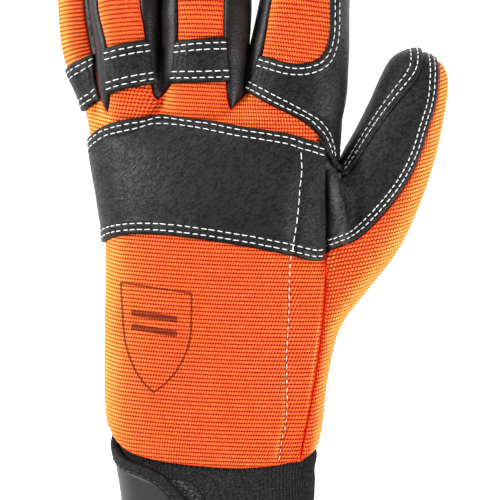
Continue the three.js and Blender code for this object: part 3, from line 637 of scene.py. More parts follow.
class Surface:
    """A triangle surface whose points carry named columns, which cutting keeps up."""

    def __init__(self, points, faces, **columns):
        self.faces = faces
        self.names = ["x", "y", "z"]
        self.values = np.asarray(points, float)
        self.fixed = np.zeros(len(self.values), bool)
        self.bounds = []
        for name, column in columns.items():
            self.add(name, column)

    def add(self, name, column):
        self.names.append(name)
        self.values = np.column_stack([self.values, column])

    def __getitem__(self, name):
        return self.values[:, self.names.index(name)]

    def __setitem__(self, name, column):
        self.values[:, self.names.index(name)] = column

    def copy(self):
        other = Surface.__new__(Surface)
        other.faces, other.names = self.faces, list(self.names)
        other.values, other.fixed, other.bounds = self.values.copy(), self.fixed.copy(), list(self.bounds)
        return other

    @property
    def points(self):
        return self.values[:, :3]

    @property
    def normals(self):
        return unit(np.stack([self["nx"], self["ny"], self["nz"]], -1))

    def keep(self, wanted):
        """Keeps the wanted faces and drops loose points."""
        self.faces = self.faces[wanted]
        used = np.unique(self.faces)
        place_of = np.full(len(self.values), -1)
        place_of[used] = np.arange(len(used))
        self.faces = place_of[self.faces]
        self.values, self.fixed = self.values[used], self.fixed[used]

    def cut(self, name, level=0.0, spacing=None, snap=0.2, keep=False):
        """Cuts the faces along one level of a column, or along levels at a spacing. With keep, only what lies
        above the level stays."""
        column = self.names.index(name)

        def height():
            v = self.values[:, column]
            if spacing is None:
                return v[self.faces] - level
            index = np.floor((v - level) / spacing + 1e-7)
            highest = index[self.faces].max(1)
            return v[self.faces] - (level + spacing * highest)[:, None]

        h = height()
        crossed = (h.min(1) < -1e-9) & (h.max(1) > 1e-9)
        if snap and crossed.any():
            corners, g = self.faces[crossed], h[crossed]
            moves = []
            for a, b in ((0, 1), (1, 2), (2, 0)):
                for p, q in ((a, b), (b, a)):
                    opposite = g[:, p] * g[:, q] < 0
                    t = g[:, p] / np.where(opposite, g[:, p] - g[:, q], 1)
                    ok = opposite & (t < snap) & ~self.fixed[corners[:, p]]
                    exact = self.values[corners[ok, p], column] - g[ok, p]
                    moves.append(np.column_stack([t[ok], corners[ok, p], corners[ok, q], exact]))
            moves = np.vstack(moves)
            moves = moves[np.argsort(-moves[:, 0], kind="stable")]
            p, q = moves[:, 1].astype(int), moves[:, 2].astype(int)
            fresh = self.values[p] + moves[:, :1] * (self.values[q] - self.values[p])
            fresh[:, column] = moves[:, 3]
            self.values[p] = fresh
            self.fixed[p] = True
            h = height()
            crossed = (h.min(1) < -1e-9) & (h.max(1) > 1e-9)
        h = np.where(np.abs(h) < 1e-9, 0, h)
        corners, g = self.faces[crossed], h[crossed]
        sign = np.sign(g)
        has_zero = (sign == 0).any(1)
        alone = np.argmax(sign * sign.sum(1)[:, None] < 0, axis=1)
        lead = np.where(has_zero, np.argmax(sign == 0, axis=1), alone)
        turn = (lead[:, None] + np.arange(3)) % 3
        rows = np.arange(len(corners))[:, None]
        corners, g = corners[rows, turn], g[rows, turn]
        two, one = ~has_zero, has_zero
        cuts = np.concatenate(
            [
                np.column_stack([corners[two, 0], corners[two, 1], g[two, 0], g[two, 1]]),
                np.column_stack([corners[two, 0], corners[two, 2], g[two, 0], g[two, 2]]),
                np.column_stack([corners[one, 1], corners[one, 2], g[one, 1], g[one, 2]]),
            ]
        )
        low_first = cuts[:, 0] < cuts[:, 1]
        ends = np.where(low_first[:, None], cuts[:, :2], cuts[:, 1::-1]).astype(np.int64)
        heights = np.where(low_first[:, None], cuts[:, 2:], cuts[:, :1:-1])
        keys = ends[:, 0] * len(self.values) + ends[:, 1]
        _, first, which = np.unique(keys, return_index=True, return_inverse=True)
        a, b = ends[first, 0], ends[first, 1]
        t = heights[first, 0] / (heights[first, 0] - heights[first, 1])
        fresh = self.values[a] + t[:, None] * (self.values[b] - self.values[a])
        fresh[:, column] = self.values[a, column] - heights[first, 0]
        base = len(self.values)
        new = base + which.reshape(-1)
        n = int(two.sum())
        p, q, r = new[:n], new[n : 2 * n], new[2 * n :]
        c2, c1 = corners[two], corners[one]
        made = np.concatenate(
            [
                np.column_stack([c2[:, 0], p, q]),
                np.column_stack([p, c2[:, 1], c2[:, 2]]),
                np.column_stack([p, c2[:, 2], q]),
                np.column_stack([c1[:, 0], c1[:, 1], r]),
                np.column_stack([c1[:, 0], r, c1[:, 2]]),
            ]
        )
        self.faces = np.concatenate([self.faces[~crossed], made])
        self.values = np.vstack([self.values, fresh])
        self.fixed = np.concatenate([self.fixed, np.ones(len(fresh), bool)])
        if keep:
            self.keep((self.values[self.faces, column] - level).max(1) > 1e-9)
        return self

    def cut_all(self, name, levels):
        for level in levels:
            self.cut(name, level)
        return self

    def tags(self):
        """One number for each face, the same all over a connected part."""
        labels = np.arange(len(self.values))
        while True:
            lowest = labels[self.faces].min(1)
            new = labels.copy()
            for k in range(3):
                np.minimum.at(new, self.faces[:, k], lowest)
            new = new[new]
            if (new == labels).all():
                return labels[self.faces[:, 0]]
            labels = new

    def largest(self):
        """Keeps only the biggest connected part."""
        tags = self.tags()
        kinds, counts = np.unique(tags, return_counts=True)
        self.keep(tags == kinds[counts.argmax()])
        return self


def border(faces):
    """Directed edges that only one face has."""
    edges = np.concatenate([faces[:, [0, 1]], faces[:, [1, 2]], faces[:, [2, 0]]])
    size = faces.max() + 1
    key, back = edges[:, 0] * size + edges[:, 1], edges[:, 1] * size + edges[:, 0]
    return edges[~np.isin(key, back)]


def wrapped(surface, top, bottom):
    """A closed piece of cloth or leather: the surface moved out by top and back to bottom. The faces come in
    the order outside, edge, inside."""
    count = len(surface.values)
    points, normals = surface.points, surface.normals
    outer = points + normals * np.asarray(top)[:, None]
    inner = points + normals * np.broadcast_to(bottom, count)[:, None]
    rim = border(surface.faces)
    a, b = rim.T
    sides = np.concatenate([np.column_stack([b, a, a + count]), np.column_stack([b, a + count, b + count])])
    faces = np.concatenate([surface.faces, sides, surface.faces[:, ::-1] + count])
    return np.vstack([outer, inner]), faces


def finished(name, points, faces, materials, attributes=None, inner_from=None):
    """Makes the finished object. Faces from inner_from on take the second material."""
    mesh = bpy.data.meshes.new(name)
    faces = np.asarray(faces)
    points = np.asarray(points, float)
    points[:, 2] = np.maximum(points[:, 2], 0.0)
    mesh.vertices.add(len(points))
    mesh.vertices.foreach_set("co", (points * MM).ravel())
    mesh.loops.add(faces.size)
    mesh.loops.foreach_set("vertex_index", faces.ravel())
    mesh.polygons.add(len(faces))
    width = faces.shape[1]
    mesh.polygons.foreach_set("loop_start", np.arange(0, faces.size, width))
    for material in materials:
        mesh.materials.append(material)
    if inner_from is not None:
        mesh.polygons.foreach_set("material_index", (np.arange(len(faces)) >= inner_from).astype(np.int32))
    mesh.update(calc_edges=True)
    mesh.validate()
    mesh.polygons.foreach_set("use_smooth", np.ones(len(mesh.polygons), bool))
    for key, values in (attributes or {}).items():
        layer = mesh.attributes.new(key, "FLOAT", "POINT")
        layer.data.foreach_set("value", np.asarray(values, float))
    return linked(name, mesh)


def settle(obj, slot, *nodes):
    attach(obj, "root")
    if nodes:
        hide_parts(*nodes)
    return obj


# The skin that all the panels are cut from


def digit_tables():
    tables = {name: (*finger_stations(name), FINGERS[name][3]) for name in FINGERS}
    tables["thumb"] = (*thumb_stations(), 0)
    return tables


def seam_heights(points):
    """Height of the seam between the palm and the back, at points."""
    palm_weight, palm_seam, finger_weight = 0.35, 14.0, 8
    total = np.full(len(points), palm_weight)
    height = total * palm_seam
    crotch = (1 - sizes().palm_centre) * mm(sizes().back_length)
    for name, (centres, wide, tall, _) in digit_tables().items():
        best, index = np.full(len(points), 1e18), np.zeros(len(points), int)
        for k, at in enumerate(centres[:-8, :2]):
            square = ((points[:, :2] - at) ** 2).sum(1)
            nearer = square < best
            best[nearer], index[nearer] = square[nearer], k
        z = centres[index, 2] - 0.2 * tall[index]
        reach = wide[index] * (0.9 if name == "thumb" else 0.75)
        weight = finger_weight * np.exp(-best / reach**2)
        if name != "thumb":
            weight *= step(points[:, 1], crotch - 22, crotch + 6)
        total += weight
        height += weight * z
    return height / total


SKIN = {}


def skin():
    """The glove's whole outer skin, with the distance to each outline."""
    if "surface" in SKIN:
        return SKIN["surface"].copy()
    parts = [loft(hand_rings())]
    for centres, wide, tall, roll in digit_tables().values():
        parts.append(loft(tube_rings(centres, wide, tall, roll)))
    points, faces, base = [], [], 0
    for some, those in parts:
        points.append(some)
        faces += [[i + base for i in face] for face in those]
        base += len(some)
    form = mesh_object("form", np.vstack(points), faces)
    select_only(form)
    bpy.ops.object.mode_set(mode="EDIT")
    bpy.ops.mesh.select_all(action="SELECT")
    bpy.ops.mesh.normals_make_consistent(inside=False)
    bpy.ops.object.mode_set(mode="OBJECT")
    remesh = form.modifiers.new("even", "REMESH")
    remesh.mode = "VOXEL"
    remesh.voxel_size = sizes().grain
    bpy.ops.object.modifier_apply(modifier="even")
    points, faces = read_triangles(form)
    bpy.data.objects.remove(form)
    points = relax(points, faces, 5, 0.5, 0.52)
    # Softer where the fingers leave the hand, and drawn tight along the thumb's seam.
    points = relax(points, faces, 6, 0.5, share=step(points[:, 1], 62, 78) * step(-points[:, 1], -112, -96))
    off_web, _ = line_distance(points[:, :2], smooth_line(place(THUMB_SIDE[:14])))
    web = np.exp(-((off_web / 9) ** 2)) * step(points[:, 2], 18, 26) * step(points[:, 1], -60, 0)
    points = relax(points, faces, 70, 0.5, share=web * step(-points[:, 1], -60, -50))
    points[:, 2] = np.maximum(points[:, 2], 0)
    points = web_filled(points, faces)
    points = shaped(points, faces)
    normals = vertex_normals(points, faces)
    surface = Surface(points, faces, nx=normals[:, 0], ny=normals[:, 1], nz=normals[:, 2])
    seam = points[:, 2] - seam_heights(points)
    surface.add("seam", seam / np.sqrt(np.maximum(1 - normals[:, 2] ** 2, 0.1)))

    broad = unit(relax(normals, faces, 25))

    def field(name, line, side, smooth=True):
        line = place(line)
        surface.add(name, plan_field(points, broad, smooth_line(line) if smooth else line, side))

    field("cuff_edge", CUFF_SEAM, "above")
    field("thumb_side", THUMB_SIDE, "left")
    field("thumb_edge", THUMB_EDGE, "inner")
    field("thumb_front", THUMB_FRONT, "left")
    field("crotch_edge", CROTCH_EDGE, "left")
    field("join", FINGER_JOIN, "above")
    field("quilt", QUILT_LINE[::-1], "left")
    field("guard_top", GUARD_TOP, "above")
    field("guard_bottom", GUARD_BOTTOM[::-1], "above")
    field("index_low", INDEX_LOW, "above")
    for wall, (tip, near, far) in WALLS.items():
        outline = np.vstack([smooth_line([tip, *far]), smooth_line([tip, *near])[:0:-1]])
        field(wall, outline, "closed", smooth=False)
    for band, (low, high) in BANDS.items():
        field(band + "_low", low, "above")
        field(band + "_high", high[::-1], "above")
    notch = np.vstack([smooth_line(INDEX_NOTCH), [(-1, 1.13), (-1, 1.75)]])
    field("notch", notch, "closed", smooth=False)
    SKIN["surface"] = surface
    return surface.copy()


# Dents and folds pressed into the skin: a line seen from above, depth, half width.
DENTS = [
    (QUILT_LINE, 1.0, 2.6),
    (QUILT_LINE[6:], 0.7, 1.0),
    ([(0.434, 0.57), (0.436, 0.65), (0.436, 0.75), (0.434, 0.82)], 2.2, 0.8),
    (THUMB_SIDE[1:8], 1.3, 1.0),
    (THUMB_SIDE[1:8], 0.7, 4.0),
    ([(0.446, 0.82), (0.455, 0.77), (0.467, 0.725), (0.484, 0.67)], -3.0, 2.0),
    ([(0.476, 0.71), (0.492, 0.651), (0.502, 0.605)], -2.0, 2.8),
    ([(0.55, 0.77), (0.545, 0.70), (0.555, 0.64)], 0.8, 3.0),
    ([(0.55, 0.76), (0.62, 0.80), (0.70, 0.87)], -0.5, 2.2),
    ([(-0.40, 0.30), (-0.35, 0.36), (-0.28, 0.38)], 0.4, 4.0),
    ([(0.10, 0.20), (0.20, 0.24), (0.27, 0.23)], 0.4, 4.0),
    ([(-0.10, 0.03), (0.02, 0.07), (0.14, 0.06)], 0.4, 4.0),
]
# Ridges of the thumb's leather with a painted highlight, the leather coloured lighter along them: a line seen
# from above, half width.
HIGHLIGHT_RIDGES = [
    ([(0.449, 0.815), (0.458, 0.77), (0.469, 0.725), (0.482, 0.665), (0.497, 0.60)], 2.0),
]


def web_filled(points, faces):
    """Draws the leather between the hand and the thumb taut, as a shallow trough."""
    near, far, high, low = WEB_FILL
    trough = 1.6
    width, length = mm(sizes().palm_width), mm(sizes().back_length)
    across = (points[:, 0] / width - near) / (far - near)
    along = points[:, 1] / length + sizes().palm_centre
    inner = np.clip(across, 0, 1)
    taut = high + (low - high) * inner - trough * np.sin(np.pi * inner)
    share = step(across, -0.12, 0.06) * step(-across, -1.1, -0.8)
    share *= step(along, 0.46, 0.60) * step(-along, -0.825, -0.76)
    share *= step(vertex_normals(points, faces)[:, 2], 0.0, 0.3) * step(points[:, 2], 18, 24)
    points = points.copy()
    points[:, 2] += share * np.maximum(taut - points[:, 2], 0)
    return relax(points, faces, 8, 0.5, share=np.clip(share * 2, 0, 1))


def shaped(points, faces):
    """Presses the dents and folds into the upper side, and lets the padding swell a little."""
    normals = vertex_normals(points, faces)
    upper = step(normals[:, 2], 0.05, 0.5) * step(points[:, 2], 16, 24)
    move = 0.4 * noise(points, 18, 3) + 0.14 * noise(points, 7, 5)
    for line, depth, width in DENTS:
        line = smooth_line(place(line))
        distance, _ = line_distance(points[:, :2], line)
        move -= depth * np.exp(-((distance / width) ** 2))
    return points + normals * (upper * move)[:, None]


def within(surface, signs, grown=None):
    """A copy of the part of a surface that lies inside several outlines, or a little past the grown ones."""
    part = surface.copy()
    for name, amount in (grown or {}).items():
        part[name] += amount * signs[name]
    fields = np.stack([sign * part[name] for name, sign in signs.items()])
    part.keep((fields.min(0) > -3)[part.faces].any(1))
    for name, sign in signs.items():
        if sign < 0:
            part[name] *= -1
        part.cut(name, keep=True)
    part.bounds = list(signs)
    return part


def edged(part):
    """Adds the distance to the part's own edge."""
    part.add("edge", np.maximum(np.stack([part[name] for name in part.bounds]).min(0), 0))
    return part


def panel_surface(signs, grown=None):
    """The biggest part of the skin inside several outlines, with the distance to its edge."""
    return edged(within(skin(), signs, grown).largest())


def rounding(edge, width):
    """A quarter circle from 0 at the edge to 1 at the width."""
    return np.sqrt(1 - (1 - np.clip(edge / width, 0, 1)) ** 2)


def rim_drop(edge, depth, width):
    return depth * (1 - rounding(edge, width))


def swelling(edge, height, reach):
    return height * (1 - np.exp(-edge / reach))


def parts_of(surface, least=60):
    """The connected parts of a surface, from the little-finger side to the thumb side."""
    tags = surface.tags()
    parts = []
    for tag in np.unique(tags):
        wanted = tags == tag
        if wanted.sum() >= least:
            part = surface.copy()
            part.keep(wanted)
            parts.append(part)
    return sorted(parts, key=lambda part: part.points[:, 0].mean())


def panel(name, surface, top, bottom, finishes, columns, slot, *nodes):
    """Makes the piece that fills a surface's room from bottom to top. A second finish is for the inner side.
    Returns the object and its outer points."""
    points, faces = wrapped(surface, top, bottom)
    inner = len(faces) - len(surface.faces) if len(finishes) > 1 else None
    attributes = {key: np.tile(column, 2) for key, column in columns.items()}
    obj = finished(name, points, faces, [paint(finish) for finish in finishes], attributes, inner)
    return settle(obj, slot, *nodes), points[: len(surface.values)]


# Ribbed cloth


def digit_place(points, name):
    """How far along a finger or the thumb points lie, how far round it and how far from its middle, in mm."""
    centres, _, _, roll = digit_tables()[name]
    side, up = axes_along(centres, roll)
    lengths = np.linalg.norm(np.diff(centres, axis=0), axis=1)
    starts = np.concatenate([[0], np.cumsum(lengths)])
    best = np.full(len(points), 1e18)
    along, around = np.zeros(len(points)), np.zeros(len(points))
    for k, length in enumerate(lengths):
        way = (centres[k + 1] - centres[k]) / length
        t = np.clip((points - centres[k]) @ way, -60 if k == 0 else 0, length)
        off = points - (centres[k] + t[:, None] * way)
        square = (off**2).sum(1)
        nearer = square < best
        best[nearer] = square[nearer]
        along[nearer] = starts[k] + t[nearer]
        around[nearer] = np.arctan2(off[nearer] @ side[k], off[nearer] @ up[k])
    return along, around * 15, np.sqrt(best)


def ribbed(surface, rib, loop):
    """Cuts the ribs' lines into a surface. The rib and loop columns are counted in ribs and loops."""
    surface.add("rib", rib / mm(sizes().rib_pitch))
    surface.add("loop", loop)
    surface.cut_all("edge", CLOTH_RIM)
    for shift in (0.32, -0.32, 0.5):
        for _ in range(2):
            surface.cut("rib", shift, spacing=1.0, snap=0.15)
    return surface


def cloth_top(surface, pressed=0.0, puff=0.45):
    """How far the ribbed cloth stands out: its padding, less the turned-in edge and the grooves."""
    edge = surface["edge"]
    phase = np.abs(surface["rib"] - np.round(surface["rib"]))
    groove = mm(sizes().rib_depth) * np.clip((phase - 0.32) / 0.18, 0, 1) * np.clip(edge / 1.2, 0.2, 1)
    return swelling(edge, puff, 4) - rim_drop(edge, 0.9, 1.3) - groove - pressed


def cloth_piece(name, surface, node, pressed=0.0, puff=0.45):
    """A panel of ribbed cloth, with a column of painted light: the cloth is made paler where it faces
    sideways, on its left-facing sides and, on the thumb, on its right-facing side.
    """
    # Painted light: paler as the cloth turns away from facing up, more on left-facing sides and on the
    # thumb's right-facing side.
    lean = surface["nx"] * np.where(surface["x"] > 47, 0.24, -0.22)
    slope = np.clip(1 - surface["nz"] + np.clip(lean, -0.08, 0.25), 0, 1)
    columns = {"rib": surface["rib"], "loop": surface["loop"], "edge": surface["edge"], "slope": slope}
    for key in ("shield", "bars"):
        columns[key] = surface[key] if key in surface.names else np.full(len(slope), FAR_OFF)
    top, finishes = cloth_top(surface, pressed, puff), ("cloth", "lining")
    return panel(name, surface, top, -mm(sizes().wall), finishes, columns, "orange_cloth", node)


# Leather


def row_lines(surface, name, rows, reach=ROW_REACH):
    """Cuts the lines that sunk rows of stitches need."""
    for row in rows:
        surface.cut_all(name, (row - reach, row, row + reach))


def sunk_rows(edge, rows):
    return sum(ROW_DEPTH * np.clip(1 - np.abs(edge - row) / ROW_REACH, 0, 1) for row in rows)


def hem(edge, low=5.2, high=6.6):
    """The second layer of leather along a sewn edge."""
    return 0.30 * (1 - step(edge, low, high))


def creases(surface, depth=0.12):
    """Fine wrinkles of worn leather, away from its edge."""
    stretched = surface.points * np.array([1.0, 0.55, 1.0])
    ridges = 1 - np.abs(noise(stretched, 3.2, 11)) * 2.2
    wrinkles = depth * np.clip(ridges, -0.4, 1) * (0.6 + 0.4 * noise(surface.points, 14, 12))
    return step(surface["edge"], 1.0, 3.0) * wrinkles


def leather_overlay(name, surface, node, rows=STITCH_ROWS, padding=0.0):
    """A leather piece laid over the shell, with a hem, sunk stitch rows and a rounded cut edge."""
    surface.cut_all("edge", LEATHER_RIM)
    row_lines(surface, "edge", rows)
    edge = surface["edge"]
    body = mm(sizes().leather) * (0.36 + 0.64 * rounding(edge, 1.0))
    top = LIFT + body + hem(edge) + padding * step(edge, 5.5, 16) - sunk_rows(edge, rows) + creases(surface)
    return surface, panel(name, surface, top, LIFT, ("leather",), {"edge": edge}, "leather", node)[1]


def leather_shell(name, surface, node, raised=0.0, crease=0.12, **columns):
    """A leather panel of the shell itself."""
    edge = surface["edge"]
    top = raised + swelling(edge, 0.4, 4) - rim_drop(edge, 0.9, 1.2) + creases(surface, crease)
    columns, finishes = {"edge": edge, **columns}, ("leather", "lining")
    return surface, panel(name, surface, top, -mm(sizes().wall), finishes, columns, "leather", node)[1]


# Stitches


def contours(surface, outer, name, level, least=None):
    """Lines on the moved-out surface where a column has a level, ended where other columns are low."""
    least = least or {}
    h = surface[name] - level - 1.3e-4
    corners = surface.faces
    g = h[corners]
    crossed = (g.min(1) < 0) & (g.max(1) > 0)
    margins = [surface[other] - low for other, low in least.items()]
    carried = np.column_stack([outer, surface.normals, *margins])
    spots, links = {}, {}
    for corner, value in zip(corners[crossed].tolist(), g[crossed].tolist()):
        ends = []
        for p, q in ((0, 1), (1, 2), (2, 0)):
            if value[p] * value[q] < 0:
                a, b = corner[p], corner[q]
                key = (min(a, b), max(a, b))
                if key not in spots:
                    spots[key] = carried[a] + value[p] / (value[p] - value[q]) * (carried[b] - carried[a])
                ends.append(key)
        if len(ends) == 2:
            links.setdefault(ends[0], []).append(ends[1])
            links.setdefault(ends[1], []).append(ends[0])
    runs, seen = [], set()
    for start in [key for key in links if len(links[key]) == 1] + list(links):
        if start in seen:
            continue
        run = [start]
        seen.add(start)
        while True:
            onward = [key for key in links[run[-1]] if key not in seen]
            if not onward:
                break
            run.append(onward[0])
            seen.add(onward[0])
        line = np.array([spots[key] for key in run])
        inland = (line[:, 6:] > 0).all(1) if margins else np.ones(len(line), bool)
        breaks = np.flatnonzero(np.diff(inland.astype(int)))
        for piece in np.split(np.arange(len(line)), breaks + 1):
            if inland[piece[0]] and len(piece) > SHORTEST_RUN:
                runs.append(line[piece, :6])
    return runs


def even_run(run):
    """A run of points and normals, smoothed and evenly spaced."""
    kernel = np.ones(5) / 5
    padded = np.vstack([run[:1].repeat(2, 0), run, run[-1:].repeat(2, 0)])
    run = np.column_stack([np.convolve(column, kernel, "valid") for column in padded.T])
    spacing = 0.5
    s = np.concatenate([[0], np.cumsum(np.linalg.norm(np.diff(run[:, :3], axis=0), axis=1))])
    count = max(int(s[-1] / spacing), 2)
    at = np.linspace(0, s[-1], count)
    return at, np.column_stack([np.interp(at, s, column) for column in run.T])


def stitch_mesh(runs, seed=0, shown=1.0, pitch_share=1.0):
    """Short lengths of thread along runs, each dipping into the leather at both ends."""
    s = sizes()
    pitch, radius = mm(s.stitch_pitch) * pitch_share, mm(s.thread) / 2
    rng = np.random.default_rng(seed)
    places = np.array([0.0, 0.14, 0.5, 0.86, 1.0])
    heights = np.array([-0.42, 0.02, 0.20, 0.02, -0.42]) + (shown - 1) * 0.5
    girth = np.array([0.8, 1.0, 1.06, 1.0, 0.8])
    sides = 6
    angles = np.linspace(0, 2 * np.pi, sides, endpoint=False)
    fan = np.array([(0, k + 1, k) for k in range(1, sides - 1)])
    last = (len(places) - 1) * sides
    tube = np.concatenate([halved(ring_quads(len(places), sides)), fan, fan[:, ::-1] + last])
    points, faces, twist = [], [], []
    for run in runs:
        at, line = even_run(run)
        count = int(at[-1] / pitch)
        if count < 1:
            continue
        gap = at[-1] / count
        for k in range(count):
            start = (k + 0.1) * gap + rng.uniform(-0.12, 0.12)
            spots = start + places * gap * 0.85 * rng.uniform(0.88, 1.06)
            here = np.column_stack([np.interp(spots, at, column) for column in line.T])
            normal = unit(here[:, 3:])
            centre = here[:, :3] + normal * heights[:, None]
            way = unit(np.gradient(centre, axis=0))
            across = unit(np.cross(way, normal))
            slant = rng.uniform(-0.22, 0.22) * (places - 0.5)
            centre = centre + across * slant[:, None]
            up = np.cross(across, way)
            ring = (
                centre[:, None]
                + across[:, None] * (np.cos(angles) * radius)[None, :, None] * girth[:, None, None]
                + up[:, None] * (np.sin(angles) * radius * 0.85)[None, :, None] * girth[:, None, None]
            )
            faces.append(tube + len(points) * len(places) * sides)
            points.append(ring.reshape(-1, 3))
            twist.append(np.repeat(spots, sides) + np.tile(angles / np.pi * 0.4, len(places)))
    return np.vstack(points), np.vstack(faces), np.concatenate(twist)


def sewn(name, runs, seed=0, shown=1.0, finish="thread", pitch_share=1.0):
    points, faces, twist = stitch_mesh(runs, seed, shown, pitch_share)
    obj = finished(name, points, faces, [paint(finish)], {"twist": twist})
    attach(obj, "root")
    return obj


# Finishes


class Paint:
    """A material being built from shader nodes."""

    def __init__(self, name, colour, roughness, **sockets):
        self.material = bpy.data.materials.new(name)
        self.material.use_nodes = True
        self.nodes, self.links = self.material.node_tree.nodes, self.material.node_tree.links
        self.shader = self.nodes["Principled BSDF"]
        self.shader.inputs["Base Color"].default_value = colour
        self.shader.inputs["Roughness"].default_value = roughness
        for key, value in sockets.items():
            self.shader.inputs[key.replace("_", " ").title().replace("Ior", "IOR")].default_value = value

    def add(self, kind, inputs, output=0, **settings):
        """A node with its settings, and with its inputs by name or number."""
        node = self.nodes.new("ShaderNode" + kind)
        for key, value in settings.items():
            setattr(node, key, value)
        for key, value in inputs.items():
            self.put(node.inputs[key], value)
        return node.outputs[output]

    def put(self, socket, value):
        if isinstance(value, bpy.types.NodeSocket):
            self.links.new(value, socket)
        else:
            socket.default_value = value

    def give(self, socket, value):
        self.put(self.shader.inputs[socket], value)

    def read(self, name):
        return self.add("Attribute", {}, 2, attribute_name=name)

    def where(self):
        return self.add("TexCoord", {}, 3)

    def math(self, operation, *values):
        return self.add("Math", dict(enumerate(values)), operation=operation)

    def times(self, first, second):
        return self.math("MULTIPLY", first, second)

    def plus(self, first, second):
        return self.math("ADD", first, second)

    def wave(self, value):
        """From 0 at whole numbers to 0.5 between them."""
        return self.math("PINGPONG", value, 0.5)

    def fit(self, value, low, high, to_low=0.0, to_high=1.0):
        inputs = dict(enumerate((value, low, high, to_low, to_high)))
        return self.add("MapRange", inputs, interpolation_type="SMOOTHSTEP")

    def ridge(self, value, width):
        """0 where a noise is at its middle, 1 from the width on."""
        return self.fit(self.math("ABSOLUTE", self.math("SUBTRACT", value, 0.5)), 0.0, width)

    def noise(self, scale, detail=3.0, roughness=0.6, vector=None):
        inputs = {"Vector": vector or self.where(), "Scale": scale, "Detail": detail, "Roughness": roughness}
        return self.add("TexNoise", inputs)

    def cells(self, scale, feature="F1", vector=None):
        return self.add("TexVoronoi", {"Vector": vector or self.where(), "Scale": scale}, feature=feature)

    def mix(self, share, first, second):
        return self.add("Mix", {0: share, 6: first, 7: second}, 2, data_type="RGBA")

    def relief(self, height, distance, strength=1.0):
        self.give("Normal", self.add("Bump", {"Height": height, "Distance": distance, "Strength": strength}))


def scaled(colour, amount):
    return (*[min(c * amount, 1) for c in colour[:3]], 1)


def cloth_paint():
    c = tuple(colours().cloth)
    p = Paint("ribbed_cloth", c, 0.85, specular_ior_level=0.12, sheen_weight=0.14, sheen_roughness=0.45)
    p.give("Sheen Tint", (1.0, 0.45, 0.10, 1))
    rib, loop = p.read("rib"), p.read("loop")
    off_crest = p.wave(rib)
    row = p.math("FLOOR", p.plus(rib, 0.5))
    lean = p.times(p.math("SUBTRACT", rib, row), 0.75)
    shifted = p.math("FRACT", p.times(row, 0.382))
    wobble = p.times(p.noise(500, 2), 0.45)
    along = p.plus(p.plus(loop, lean), p.plus(shifted, wobble))
    off_loop = p.wave(along)
    deep = p.times(p.times(off_crest, off_crest), 3.4)
    apart = p.times(p.times(off_loop, off_loop), 3.5)
    reach = p.plus(deep, apart)
    shade = p.fit(reach, 0.10, 0.92)
    gap_shade = p.fit(reach, 0.80, 1.25)
    # Painted light: crests and grooves turn pale yellow-orange where the cloth faces sideways.
    slope = p.fit(p.read("slope"), 0.02, 0.62)
    crest = p.mix(slope, c, (1.0, 0.46, 0.10, 1))
    patchy = p.fit(p.noise(60, 4), 0.3, 0.7)
    crest = p.mix(p.times(patchy, 0.25), crest, (0.95, 0.11, 0.02, 1))
    fleck = p.fit(p.noise(1000, 3), 0.48, 0.72)
    crest = p.mix(p.times(fleck, 0.45), crest, (1.0, 0.42, 0.12, 1))
    # Painted shade: the grooves between the ribs are coloured dark red.
    groove_shade = p.mix(slope, (0.50, 0.010, 0.0008, 1), (0.66, 0.10, 0.008, 1))
    colour = p.mix(shade, crest, groove_shade)
    # Painted shade: the gaps between the loops, at the corners of the grooves, are coloured darker still.
    colour = p.mix(p.times(gap_shade, 0.95), colour, (0.12, 0.001, 0.0003, 1))
    # Painted shade and painted glow: the cloth turns deep red towards its edges, as orange cloth looks in
    # shade, and glows faintly red there.
    rim = p.fit(p.read("edge"), 0.2, 1.6, 1.0, 0.0)
    colour = p.mix(p.times(rim, 0.6), colour, (0.9, 0.025, 0.002, 1))
    p.give("Emission Color", (1.0, 0.012, 0.001, 1))
    p.give("Emission Strength", p.times(rim, 0.08))
    outline = p.fit(p.math("ABSOLUTE", p.read("shield")), 0.34, 0.56, 1.0, 0.0)
    bars = p.fit(p.read("bars"), -0.1, 0.12, 1.0, 0.0)
    worn = p.fit(p.noise(1500, 2), 0.25, 0.45)
    ink = p.times(p.math("MAXIMUM", outline, bars), p.math("MULTIPLY_ADD", worn, 0.3, 0.5))
    colour = p.mix(ink, colour, (0.085, 0.005, 0.003, 1))
    p.give("Base Color", colour)
    fibres = p.times(p.noise(3800, 3), 0.3)
    p.relief(p.math("SUBTRACT", fibres, reach), 0.0004, 1.0)
    return p.material


